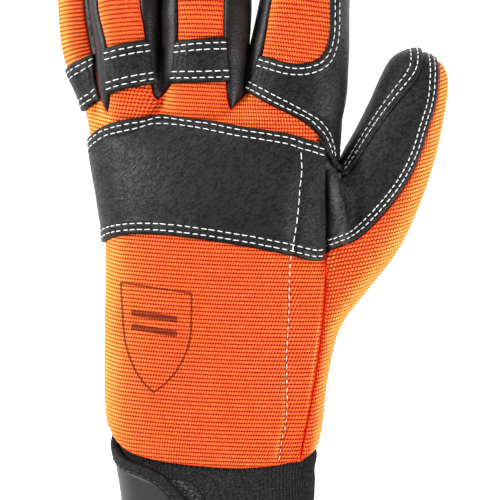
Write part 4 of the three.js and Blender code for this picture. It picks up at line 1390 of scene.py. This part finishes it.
def leather_paint():
    c = tuple(colours().leather)
    p = Paint("leather", c, 0.4, specular_ior_level=0.17)
    where = p.where()
    turned = {"Vector": where, "Rotation": (0, 0, 0.6), "Scale": (2.0, 0.9, 1.0)}
    drawn = p.add("Mapping", turned, vector_type="TEXTURE")
    folds = p.ridge(p.noise(460, 2, 0.5, drawn), 0.10)
    fine = p.ridge(p.noise(950, 2, 0.6, drawn), 0.12)
    pebbles = p.fit(p.cells(900, "DISTANCE_TO_EDGE", drawn), 0.0, 0.30)
    lift = p.math("MULTIPLY_ADD", folds, 0.4, p.math("MULTIPLY_ADD", fine, 0.3, p.times(pebbles, 0.3)))
    worn = p.fit(p.noise(45, 3, 0.5, where), 0.35, 0.70)
    top = p.mix(worn, scaled(c, 1.2), scaled(c, 1.7))
    # The grain's own tone with painted shade: the leather is coloured much darker in the hollows of its grain
    # and folds.
    colour = p.mix(p.fit(lift, 0.15, 0.75), scaled(c, 0.15), top)
    # Painted highlight: much lighter leather along the thumb's ridges.
    rubbed = p.times(p.read("rubbed"), p.fit(lift, 0.1, 0.8, 0.3, 0.8))
    colour = p.mix(rubbed, colour, scaled(c, 7.5))
    rim = p.fit(p.read("edge"), 0.1, 1.1, 1.0, 0.0)
    colour = p.mix(p.times(rim, 0.85), colour, scaled(c, 0.2))
    p.give("Base Color", colour)
    p.give("Roughness", p.fit(lift, 0.2, 0.9, 0.56, 0.40))
    p.relief(lift, 0.00012, 1.0)
    return p.material


def walls_paint():
    c = tuple(colours().walls)
    p = Paint("side_cloth", c, 0.44, specular_ior_level=0.26)
    weave = p.cells(1500)
    p.give("Base Color", p.mix(p.fit(p.noise(150, 4), 0.3, 0.7), scaled(c, 0.7), scaled(c, 1.6)))
    p.relief(p.plus(weave, p.times(p.noise(240, 4), 2.0)), 0.00015, 0.6)
    return p.material


def lining_paint():
    p = Paint("lining", (0.012, 0.011, 0.012, 1), 0.9)
    weave = p.cells(900)
    p.give("Base Color", p.mix(p.fit(weave, 0.2, 0.8), (0.008, 0.008, 0.009, 1), (0.022, 0.021, 0.022, 1)))
    p.relief(weave, 0.0002, 0.6)
    return p.material


def knit_paint():
    c = tuple(colours().knit)
    p = Paint("cuff_knit", c, 0.85, specular_ior_level=0.15)
    rows = p.wave(p.read("knit"))
    fibres = p.noise(1300, 3, 0.7)
    specks = p.fit(p.plus(p.times(rows, 0.25), fibres), 0.42, 0.82)
    p.give("Base Color", p.mix(specks, scaled(c, 0.35), scaled(c, 4.2)))
    p.relief(p.plus(rows, p.times(fibres, 1.2)), 0.00025, 0.9)
    return p.material


def strap_paint():
    c = tuple(colours().strap)
    p = Paint("strap_face", c, 0.5, specular_ior_level=0.35, sheen_weight=0.05)
    weave = p.noise(2200, 3)
    p.give("Base Color", p.mix(p.fit(p.noise(60, 3), 0.3, 0.7), scaled(c, 0.85), scaled(c, 1.15)))
    p.relief(weave, 0.00004, 0.6)
    return p.material


def binding_paint():
    c = tuple(colours().knit)
    p = Paint("binding_tape", scaled(c, 2.2), 0.8, specular_ior_level=0.2)
    along = p.wave(p.times(p.read("run"), 1.15))
    across = p.wave(p.times(p.read("cross"), 1.4))
    weave = p.plus(along, across)
    flecks = p.fit(p.noise(1300, 3), 0.42, 0.72)
    tint = p.mix(p.fit(p.noise(500, 2), 0.4, 0.6), scaled(c, 7.0), (0.050, 0.038, 0.055, 1))
    p.give("Base Color", p.mix(p.times(p.fit(weave, 0.1, 0.8), flecks), scaled(c, 0.5), tint))
    p.relief(weave, 0.0003, 0.9)
    return p.material


def loop_paint():
    c = tuple(colours().knit)
    p = Paint("loop_fabric", scaled(c, 1.6), 0.8, specular_ior_level=0.2)
    p.give("Base Color", p.mix(p.fit(p.noise(1100, 3, 0.7), 0.44, 0.70), scaled(c, 0.4), scaled(c, 11.0)))
    p.relief(p.noise(1500, 4, 0.75), 0.0006, 1.0)
    return p.material


def thread_paint():
    c = tuple(colours().thread)
    p = Paint("sewing_thread", c, 0.55, sheen_weight=0.2)
    turns = p.wave(p.times(p.read("twist"), 1.4))
    p.give("Base Color", p.mix(p.fit(turns, 0.0, 0.22, 1.0, 0.0), c, scaled(c, 0.62)))
    p.relief(p.fit(turns, 0.0, 0.35), 0.00014, 0.8)
    return p.material


def dark_thread_paint():
    p = Paint("dark_thread", (0.02, 0.02, 0.022, 1), 0.55, sheen_weight=0.2)
    turns = p.wave(p.times(p.read("twist"), 1.4))
    p.give("Base Color", p.mix(turns, (0.006, 0.006, 0.007, 1), (0.020, 0.019, 0.021, 1)))
    p.relief(p.fit(turns, 0.0, 0.35), 0.00014, 0.8)
    return p.material


PAINTS = {
    "cloth": cloth_paint,
    "leather": leather_paint,
    "walls": walls_paint,
    "lining": lining_paint,
    "knit": knit_paint,
    "strap": strap_paint,
    "binding": binding_paint,
    "loops": loop_paint,
    "thread": thread_paint,
    "dark_thread": dark_thread_paint,
}
MADE = {}


def paint(name):
    if name not in MADE:
        MADE[name] = PAINTS[name]()
    return MADE[name]


# A plain shield and two plain bars printed on the back: places in shares, like the outlines.
SHIELD = [
    (-0.366, 0.496), (-0.0895, 0.466), (-0.0915, 0.365), (-0.101, 0.326), (-0.123, 0.286), (-0.155, 0.249),
    (-0.195, 0.219), (-0.237, 0.196), (-0.275, 0.221), (-0.308, 0.255), (-0.333, 0.294), (-0.349, 0.335),
    (-0.356, 0.379),
]
SHIELD_BARS = [
    [(-0.325, 0.405), (-0.145, 0.386), (-0.145, 0.404), (-0.325, 0.423)],
    [(-0.325, 0.366), (-0.145, 0.347), (-0.145, 0.365), (-0.325, 0.384)],
]


def printed(surface):
    """Distances to the print's outline and to its bars."""
    near = surface["nz"] > 0.2
    flat = surface.points[near, :2]
    shield, bars = np.full(len(near), FAR_OFF), np.full(len(near), FAR_OFF)
    shield[near] = signed_distance(flat, place(SHIELD))
    for bar in SHIELD_BARS:
        bars[near] = np.minimum(bars[near], signed_distance(flat, place(bar)))
    surface.add("shield", shield)
    surface.add("bars", bars)


WALL_SIGNS = {name: -1 for name in WALLS}
# Surfaces that stitches follow, each with its outer points.
SEWN = {}


def hand_ribs(points):
    """Rib and loop coordinates over the back of the hand, where the ribs bow up on the little-finger side."""
    x, y, z = points.T
    rib = y - 0.00063 * np.minimum(x - 35, 0) ** 2 - 0.16 * np.clip(40 - z, 0, 40)
    loop = -np.arctan2(x, z - 2) * 46
    return rib, loop


class GLOVE_OT_back(bpy.types.Operator):
    """Makes the ribbed cloth over the back of the hand, with its printed shield"""

    bl_idname = "glove.back"
    bl_label = "Back cloth"

    def execute(self, context):
        signs = {"cuff_edge": 1, "thumb_side": 1, "seam": 1, "join": -1, **WALL_SIGNS}
        whole = panel_surface(signs)
        back_line = place([(-0.70, 0.74), (0.0, 0.76), (0.70, 0.70)])
        whole.add("back_join", plan_field(whole.points, whole.normals, back_line, "above"))
        low, high = whole.copy(), whole
        low["back_join"] *= -1
        for half in (low, high):
            half.cut("back_join", keep=True).largest()
            half["edge"] = np.minimum(half["edge"], half["back_join"])
        printed(low)
        for half in (low, high):
            ribbed(half, *hand_ribs(half.points))
        under = step(low["guard_bottom"], 1.0, 2.5)
        obj, outer = cloth_piece("back_cloth", low, "back_panel", PRESSED * under)
        SEWN["back"] = (low, outer)
        under = step(-high["guard_top"], 1.0, 2.5)
        obj, _ = cloth_piece("knuckle_cloth", high, "knuckle_panel", PRESSED * under)
        return {"FINISHED"}


class GLOVE_OT_finger_backs(bpy.types.Operator):
    """Makes the ribbed cloth along the top of each finger"""

    bl_idname = "glove.finger_backs"
    bl_label = "Finger backs"

    def execute(self, context):
        whole = edged(within(skin(), {"thumb_side": 1, "seam": 1, "join": 1, **WALL_SIGNS}))
        found = parts_of(whole, 600)
        if len(found) != 4:
            raise RuntimeError(f"expected four finger backs, found {len(found)}")
        for name, part in zip(FINGERS, found):
            along, around, _ = digit_place(part.points, name)
            ribbed(part, along, around)
            pressed = PRESSED * (1 - step(part[name + "_high"], 0.0, 1.5)) if name in BANDS else 0.0
            cloth_piece(name + "_back_cloth", part, "finger_back_" + name, pressed, 1.3)
        return {"FINISHED"}


class GLOVE_OT_palm(bpy.types.Operator):
    """Makes the leather palm and the undersides of the fingers and the thumb"""

    bl_idname = "glove.palm"
    bl_label = "Palm"

    def execute(self, context):
        surface = skin()
        start = (0.97 - sizes().palm_centre) * mm(sizes().back_length)
        surface.add("front", surface["y"] - start)
        palm = within(surface, {"cuff_edge": 1, "seam": -1, "thumb_front": 1, "front": -1}).largest()
        leather_shell("palm_leather", edged(palm).cut_all("edge", LEATHER_RIM), "palm_panel")
        fronts = within(surface, {"seam": -1, "thumb_front": 1, "front": 1})
        names = list(FINGERS)
        away = {name: digit_place(fronts.points, name)[2] / FINGERS[name][1] for name in names}
        for first, second in zip(names, names[1:]):
            fronts.add("beside_" + first, (away[second] - away[first]) * 15)
        for i, name in enumerate(names):
            signs = {"beside_" + names[i - 1]: -1} if i else {}
            if i < 3:
                signs["beside_" + name] = 1
            part = within(fronts, signs).largest()
            part.bounds += ["seam", "thumb_front", "front"]
            edged(part).cut_all("edge", LEATHER_RIM)
            leather_shell(name + "_front_leather", part, "finger_front_" + name)
        thumb = within(surface, {"cuff_edge": 1, "seam": -1, "thumb_front": -1}).largest()
        leather_shell("thumb_front_leather", edged(thumb).cut_all("edge", LEATHER_RIM), "thumb_front")
        return {"FINISHED"}


class GLOVE_OT_walls(bpy.types.Operator):
    """Makes the padded side walls between the fingers"""

    bl_idname = "glove.walls"
    bl_label = "Side walls"

    def execute(self, context):
        for name in WALLS:
            wall = panel_surface({"seam": 1, name: 1, "thumb_side": 1}).cut_all("edge", CLOTH_RIM)
            top = swelling(wall["edge"], 1.6, 3) - rim_drop(wall["edge"], 0.7, 1.3)
            finishes = ("walls", "lining")
            node = "fourchette_" + name
            panel("side_wall_" + name, wall, top, -mm(sizes().wall), finishes, {}, "side_cloth", node)
        return {"FINISHED"}


class GLOVE_OT_thumb(bpy.types.Operator):
    """Makes the thumb's leather and the ribbed cloth down its outer side"""

    bl_idname = "glove.thumb"
    bl_label = "Thumb"

    def execute(self, context):
        cloth = panel_surface({"cuff_edge": 1, "seam": 1, "thumb_side": -1, "thumb_edge": -1})
        x, y, z = cloth.points.T
        rib = y - 0.14 * (x - 46) - 0.22 * np.clip(44 - z, 0, 44)
        _, around, _ = digit_place(cloth.points, "thumb")
        ribbed(cloth, rib, around * 1.1)
        cloth_piece("thumb_cloth", cloth, "thumb_back")
        leather = panel_surface({"seam": 1, "thumb_side": -1, "thumb_edge": 1})
        row_lines(leather, "thumb_edge", THUMB_STITCH_ROWS, 0.5)
        leather.cut_all("edge", LEATHER_RIM)
        # Painted highlight: the leather is coloured lighter along the listed ridges where they face up.
        rubbed = np.zeros(len(leather.values))
        for line, width in HIGHLIGHT_RIDGES:
            distance, _ = line_distance(leather.points[:, :2], smooth_line(place(line)))
            rubbed = np.maximum(rubbed, np.exp(-((distance / width) ** 2)))
        rubbed *= step(leather["nz"], 0.2, 0.6)
        sewn_edge = leather["thumb_edge"]
        raised = 0.25 + hem(sewn_edge, 4.9, 6.2) - sunk_rows(sewn_edge, THUMB_STITCH_ROWS)
        SEWN["thumb"] = leather_shell("thumb_hide", leather, "thumb_leather", raised, 0.2, rubbed=rubbed)
        signs = {"seam": 1, "thumb_side": -1, "crotch_edge": 1}
        patch = panel_surface(signs, {"seam": 2.0, "thumb_side": 0.6})
        SEWN["crotch"] = leather_overlay("thumb_web_patch", patch, "thumb_crotch_patch")
        return {"FINISHED"}


class GLOVE_OT_guard(bpy.types.Operator):
    """Makes the wide leather panel across the knuckles"""

    bl_idname = "glove.guard"
    bl_label = "Knuckle guard"

    def execute(self, context):
        signs = {"guard_top": -1, "guard_bottom": 1, "guard_low": 1, "guard_side": 1}
        surface = skin()
        surface.add("guard_low", surface["z"] - 17)
        side = place([(0.418, 0.50), (0.418, 0.62), (0.418, 0.75), (0.420, 0.82), (0.430, 0.90)])
        surface.add("guard_side", plan_field(surface.points, surface.normals, side, "left"))
        guard = edged(within(surface, signs).largest())
        SEWN["guard"] = leather_overlay("knuckle_leather", guard, "knuckle_guard", padding=0.3)
        return {"FINISHED"}


class GLOVE_OT_bands(bpy.types.Operator):
    """Makes the leather bands over the fingers and the leather round the index finger"""

    bl_idname = "glove.bands"
    bl_label = "Bands"

    def execute(self, context):
        for name in BANDS:
            signs = {"seam": 1, name + "_low": 1, name + "_high": -1, **WALL_SIGNS}
            span = place(BANDS[name][0])[:, 0]
            grown = {"seam": 2.0, **dict.fromkeys(WALLS, 0.5)}
            found = parts_of(within(skin(), signs, grown))
            band = edged([part for part in found if span.min() < part["x"].mean() < span.max()][0])
            SEWN[name] = leather_overlay("band_leather_" + name, band, "band_" + name, rows=BAND_STITCH_ROWS)
        signs = {"seam": 1, "thumb_side": 1, "index_low": 1, "notch": -1, "middle_index": -1}
        wrap = panel_surface(signs, {"seam": 2.0, "middle_index": 0.5, "thumb_side": 0.6})
        SEWN["wrap"] = leather_overlay("index_leather", wrap, "index_wrap")
        return {"FINISHED"}


class GLOVE_OT_web_seam(bpy.types.Operator):
    """Makes the rolled seam between the index finger and the thumb"""

    bl_idname = "glove.web_seam"
    bl_label = "Web seam"

    def execute(self, context):
        surface = skin()
        line = smooth_line(place(WEB_SEAM), 12)
        centres, ups = [], []
        for x, y in line:
            off = (surface["x"] - x) ** 2 + (surface["y"] - y) ** 2
            near = np.argsort(np.where(surface["nz"] > 0.1, off, 1e9))[:12]
            centres.append([x, y, surface["z"][near].mean()])
            ups.append(surface.normals[near].mean(0))
        centres, ups = np.array(centres), np.array(ups)
        for _ in range(6):
            centres[1:-1] = (centres[:-2] + 2 * centres[1:-1] + centres[2:]) / 4
            ups[1:-1] = (ups[:-2] + 2 * ups[1:-1] + ups[2:]) / 4
        ups = unit(ups)
        across = unit(np.cross(np.gradient(centres, axis=0), ups))
        share = np.linspace(0, 1, len(centres))
        radius, lift, flatness = 1.25, 1.8, 1.15
        bulk = radius * np.clip(np.sin(np.pi * (0.06 + 0.88 * share)), 0, 1) ** 0.4
        angles = np.linspace(0, 2 * np.pi, 18, endpoint=False)
        u, v = superellipse(angles, 2.2)
        rings = (
            (centres + ups * lift)[:, None]
            + across[:, None] * (bulk[:, None] * u)[..., None]
            + ups[:, None] * (flatness * bulk[:, None] * v)[..., None]
        )
        points, polygons = loft(rings)
        faces = [tri for face in polygons for tri in zip(face[:1] * (len(face) - 2), face[1:-1], face[2:])]
        points += 0.12 * noise(points, 2.0, 51)[:, None] * np.array([0, 0, 1])
        attributes = {"edge": np.full(len(points), 9.0)}
        obj = finished("web_seam_roll", points, np.array(faces), [paint("leather")], attributes)
        settle(obj, "leather")
        return {"FINISHED"}


class GLOVE_OT_stitches(bpy.types.Operator):
    """Sews the rows of thread along the leather's edges"""

    bl_idname = "glove.stitches"
    bl_label = "Stitches"

    def execute(self, context):
        def rows_of(key, name, levels, least):
            return [run for level in levels for run in contours(*SEWN[key], name, level, least)]

        def part_of(runs, wanted):
            runs = [run[wanted(run)] for run in runs]
            return [run for run in runs if len(run) > SHORTEST_RUN]

        clear = 1.2
        guard = rows_of("guard", "guard_top", STITCH_ROWS, {"guard_side": clear, "guard_bottom": 8})
        guard += rows_of("guard", "guard_bottom", STITCH_ROWS, {"guard_side": clear, "guard_top": 8})
        sewn("guard_stitches", guard, 1)
        quilt = rows_of("guard", "quilt", (0.0,), {"guard_top": 5.2, "guard_bottom": 0.8})
        sewn("quilt_stitches", quilt, 2, pitch_share=1.1)
        lower = rows_of("back", "quilt", (0.0,), {"cuff_edge": 2.0})
        sewn("channel_stitches", part_of(lower, lambda run: run[:, 1] < 19.5), 3, shown=0.9)
        for seed, name in enumerate(BANDS):
            runs = rows_of(name, name + "_low", BAND_STITCH_ROWS, {"seam": 1.0})
            runs += rows_of(name, name + "_high", BAND_STITCH_ROWS, {"seam": 1.0})
            sewn("band_stitches_" + name, runs, 10 + seed)
        wrap = rows_of("wrap", "index_low", STITCH_ROWS, {"seam": 2.0, "notch": 6.0})
        wrap += rows_of("wrap", "notch", STITCH_ROWS, {"seam": 2.0, "index_low": 6.0, "middle_index": 0.6})
        sewn("index_stitches", wrap, 20, pitch_share=0.88)
        thumb = rows_of("thumb", "thumb_edge", THUMB_STITCH_ROWS, {"seam": 1.5, "thumb_side": 1.0})
        sewn("thumb_stitches", thumb, 30, pitch_share=0.78)
        web = rows_of("crotch", "crotch_edge", STITCH_ROWS, {"seam": 1.0, "thumb_side": 1.0})
        sewn("web_stitches", part_of(web, lambda run: run[:, 0] > 54.5), 31, pitch_share=0.8)
        return {"FINISHED"}


# The cuff


def cuff_surface(sides=300, rows=110):
    """An open surface round the cuff, with its normals."""
    places = np.linspace(-0.5, 1.0, rows)
    start = -sizes().palm_centre * mm(sizes().back_length)
    rings = sloped_rings(CUFF_ROWS, places, start - places * mm(sizes().cuff_length), sides)[::-1]
    around = np.roll(rings, -1, 1) - np.roll(rings, 1, 1)
    normals = unit(np.cross(around, np.gradient(rings, axis=0)))
    if (normals[0, 0] * (rings[0, 0] - rings[0].mean(0))).sum() < 0:
        normals = -normals
    faces = halved(ring_quads(rows, sides))
    points, normals = rings.reshape(-1, 3), normals.reshape(-1, 3)
    flat = np.cross(points[faces[0, 1]] - points[faces[0, 0]], points[faces[0, 2]] - points[faces[0, 0]])
    if flat @ normals[faces[0, 0]] < 0:
        faces = faces[:, ::-1]
    return Surface(points, faces, nx=normals[:, 0], ny=normals[:, 1], nz=normals[:, 2])


class GLOVE_OT_cuff(bpy.types.Operator):
    """Makes the knitted cuff with its ribs and its turned edge"""

    bl_idname = "glove.cuff"
    bl_label = "Cuff"

    def execute(self, context):
        ribs, fine, rows = 124, 5, 60
        rib_height, row_pitch = 0.28, 1.1
        surface = cuff_surface(ribs * fine, rows)
        points = surface.points
        wave = np.cos(2 * np.pi * np.tile(np.arange(ribs * fine), rows) / fine)
        along = (-sizes().palm_centre * mm(sizes().back_length) - points[:, 1]) / mm(sizes().cuff_length)
        end = step(along, 0.93, 1.0)
        folds = 0.5 * noise(points * np.array([1.0, 1.6, 1.0]), 9, 21) * step(along, -0.1, 0.15)
        top = rib_height * wave * (1 - end) + folds - 0.9 * end
        bottom = -mm(sizes().wall) + folds + 0.5 * end
        knit = {"knit": -points[:, 1] / row_pitch + 0.25 * wave}
        panel("knitted_cuff", surface, top, bottom, ("knit", "knit"), knit, "cuff_knit", "cuff")
        return {"FINISHED"}


def strap_field(surface):
    """Distance inside the strap's outline, above and below the hand's middle."""
    right, low, high = STRAP_UNDER
    points, normals = surface.points, surface.normals
    outline = smooth_line(place(STRAP_EDGE))
    above = plan_field(points, normals, outline, "closed")
    corners = place([(right, low), (right, high)])
    x, y = points[:, 0], points[:, 1]
    below = np.minimum(np.minimum(corners[0, 0] - x, y - corners[0, 1]), corners[1, 1] - y)
    share = step(points[:, 2], 12, 26)
    return above * share + below * (1 - share)


class GLOVE_OT_strap(bpy.types.Operator):
    """Makes the wrist strap, the tape round its edge and the brushed patch it closes on"""

    bl_idname = "glove.strap"
    bl_label = "Strap"

    def execute(self, context):
        # Each layer's underside and top above the cuff's surface, in mm.
        face_low, face_high = 1.7, 3.9
        tape_low, tape_high, tape_bulge = 1.2, 3.6, 1.1
        pad_low, pad_high = 0.3, 0.9
        tape = cuff_surface()
        tape.add("strap", strap_field(tape) - STRAP_INSET)
        strap = tape.copy().cut("strap", keep=True).largest()
        strap.add("edge", np.maximum(strap["strap"], 0))
        strap.cut_all("edge", CLOTH_RIM)
        top = face_high - rim_drop(strap["edge"], 0.9, 1.3)
        panel("strap_face", strap, top, face_low, ("strap",), {}, "strap_face", "wrist_strap")

        tape["strap"] += STRAP_INSET
        tape.cut("strap", keep=True)
        tape.add("inward", TAPE_WIDTH - tape["strap"])
        tape.cut("inward", keep=True).largest()
        tape.add("edge", np.maximum(np.minimum(tape["strap"], tape["inward"]), 0))
        tape.cut_all("edge", (0.3, 0.8, 1.5))
        top = tape_high + tape_bulge * rounding(tape["edge"], 1.5)
        weave = {"run": tape["x"] + tape["y"], "cross": tape["strap"]}
        slot, node = "strap_trim", "strap_binding"
        _, outer = panel("strap_tape", tape, top, tape_low, ("binding",), weave, slot, node)
        sewn("tape_stitches", contours(tape, outer, "inward", 0.9), 40, 0.8, "dark_thread")

        (left, low), (right, high) = place(LOOP_PAD)
        patch = cuff_surface(420)
        x, y = patch.points[:, 0], patch.points[:, 1]
        turned = 11.0
        reach_x = np.maximum(x - (right - turned), 0)
        reach_y = np.maximum(np.abs(y - (low + high) / 2) - ((high - low) / 2 - turned), 0)
        rounded = turned - np.hypot(reach_x, reach_y)
        patch.add("patch", np.where(patch["nz"] > 0.1, np.minimum(rounded, x - left), -5))
        patch.cut("patch", keep=True).largest()
        fuzz = 0.35 * np.abs(noise(patch.points, 0.9, 31)) + 0.25 * noise(patch.points, 0.5, 32)
        panel("loop_pad", patch, pad_high + fuzz, pad_low, ("loops",), {}, "loop_fabric", "loop_patch")
        return {"FINISHED"}


class GLOVE_OT_stage(bpy.types.Operator):
    """Makes the pale floor, the soft lights and the camera straight above the glove"""

    bl_idname = "glove.stage"
    bl_label = "Stage"

    def execute(self, context):
        bpy.ops.mesh.primitive_plane_add(size=6, location=(0, 0, -0.0004))
        floor = context.active_object
        floor.name = "floor"
        glow = {"emission_color": (1, 1, 1, 1), "emission_strength": 1.08}
        floor.data.materials.append(Paint("floor_white", (0.86, 0.86, 0.86, 1), 0.9, **glow).material)
        world = bpy.data.worlds.new("studio")
        world.use_nodes = True
        background = world.node_tree.nodes["Background"]
        background.inputs["Color"].default_value = (1, 1, 1, 1)
        background.inputs["Strength"].default_value = 0.25
        context.scene.world = world
        for name, spot, size, power in (
            ("key", (-1.00, 0.40, 0.72), 0.40, 25.0),
            ("top", (-0.25, 1.00, 0.95), 0.5, 7.0),
            ("side", (1.00, -0.50, 0.60), 0.40, 22.0),
        ):
            light = bpy.data.lights.new(name, "AREA")
            light.size, light.energy = size, power
            lamp = linked(name, light)
            lamp.location = spot
            aim = (-lamp.location).to_track_quat("-Z", "Y")
            lamp.rotation_euler = aim.to_euler()
        camera = bpy.data.cameras.new("camera")
        camera.sensor_width = 36
        height, framed = 1.5, 0.210
        camera.lens = 36 * height / framed
        camera.clip_end = 20
        eye = linked("camera", camera)
        eye.location = (0.0147, 0.0210, height + 0.045)
        context.scene.camera = eye
        context.scene.view_settings.view_transform = "Standard"
        return {"FINISHED"}


class GLOVE_PT_panel(bpy.types.Panel):
    """The glove's sizes and the buttons that build it"""

    bl_idname = "GLOVE_PT_panel"
    bl_label = "Glove"
    bl_space_type = "VIEW_3D"
    bl_region_type = "UI"
    bl_category = "Glove"

    def draw(self, context):
        for group in (context.scene.glove_sizes, context.scene.glove_colours):
            column = self.layout.column(align=True)
            for name in group.__annotations__:
                column.prop(group, name)
        column = self.layout.column(align=True)
        for operator in OPERATORS:
            column.operator(operator.bl_idname)


OPERATORS = (
    GLOVE_OT_back,
    GLOVE_OT_finger_backs,
    GLOVE_OT_palm,
    GLOVE_OT_walls,
    GLOVE_OT_thumb,
    GLOVE_OT_guard,
    GLOVE_OT_bands,
    GLOVE_OT_web_seam,
    GLOVE_OT_stitches,
    GLOVE_OT_cuff,
    GLOVE_OT_strap,
    GLOVE_OT_stage,
)
CLASSES = (GloveSizes, GloveColours, *OPERATORS, GLOVE_PT_panel)


def register():
    for cls in CLASSES:
        bpy.utils.register_class(cls)
    bpy.types.Scene.glove_sizes = bpy.props.PointerProperty(type=GloveSizes)
    bpy.types.Scene.glove_colours = bpy.props.PointerProperty(type=GloveColours)


def unregister():
    del bpy.types.Scene.glove_colours
    del bpy.types.Scene.glove_sizes
    for cls in reversed(CLASSES):
        bpy.utils.unregister_class(cls)


def main():
    register()
    bpy.ops.glove.back()
    bpy.ops.glove.finger_backs()
    bpy.ops.glove.palm()
    bpy.ops.glove.walls()
    bpy.ops.glove.thumb()
    bpy.ops.glove.guard()
    bpy.ops.glove.bands()
    bpy.ops.glove.web_seam()
    bpy.ops.glove.stitches()
    bpy.ops.glove.cuff()
    bpy.ops.glove.strap()
    bpy.ops.glove.stage()


if __name__ == "__main__":
    main()
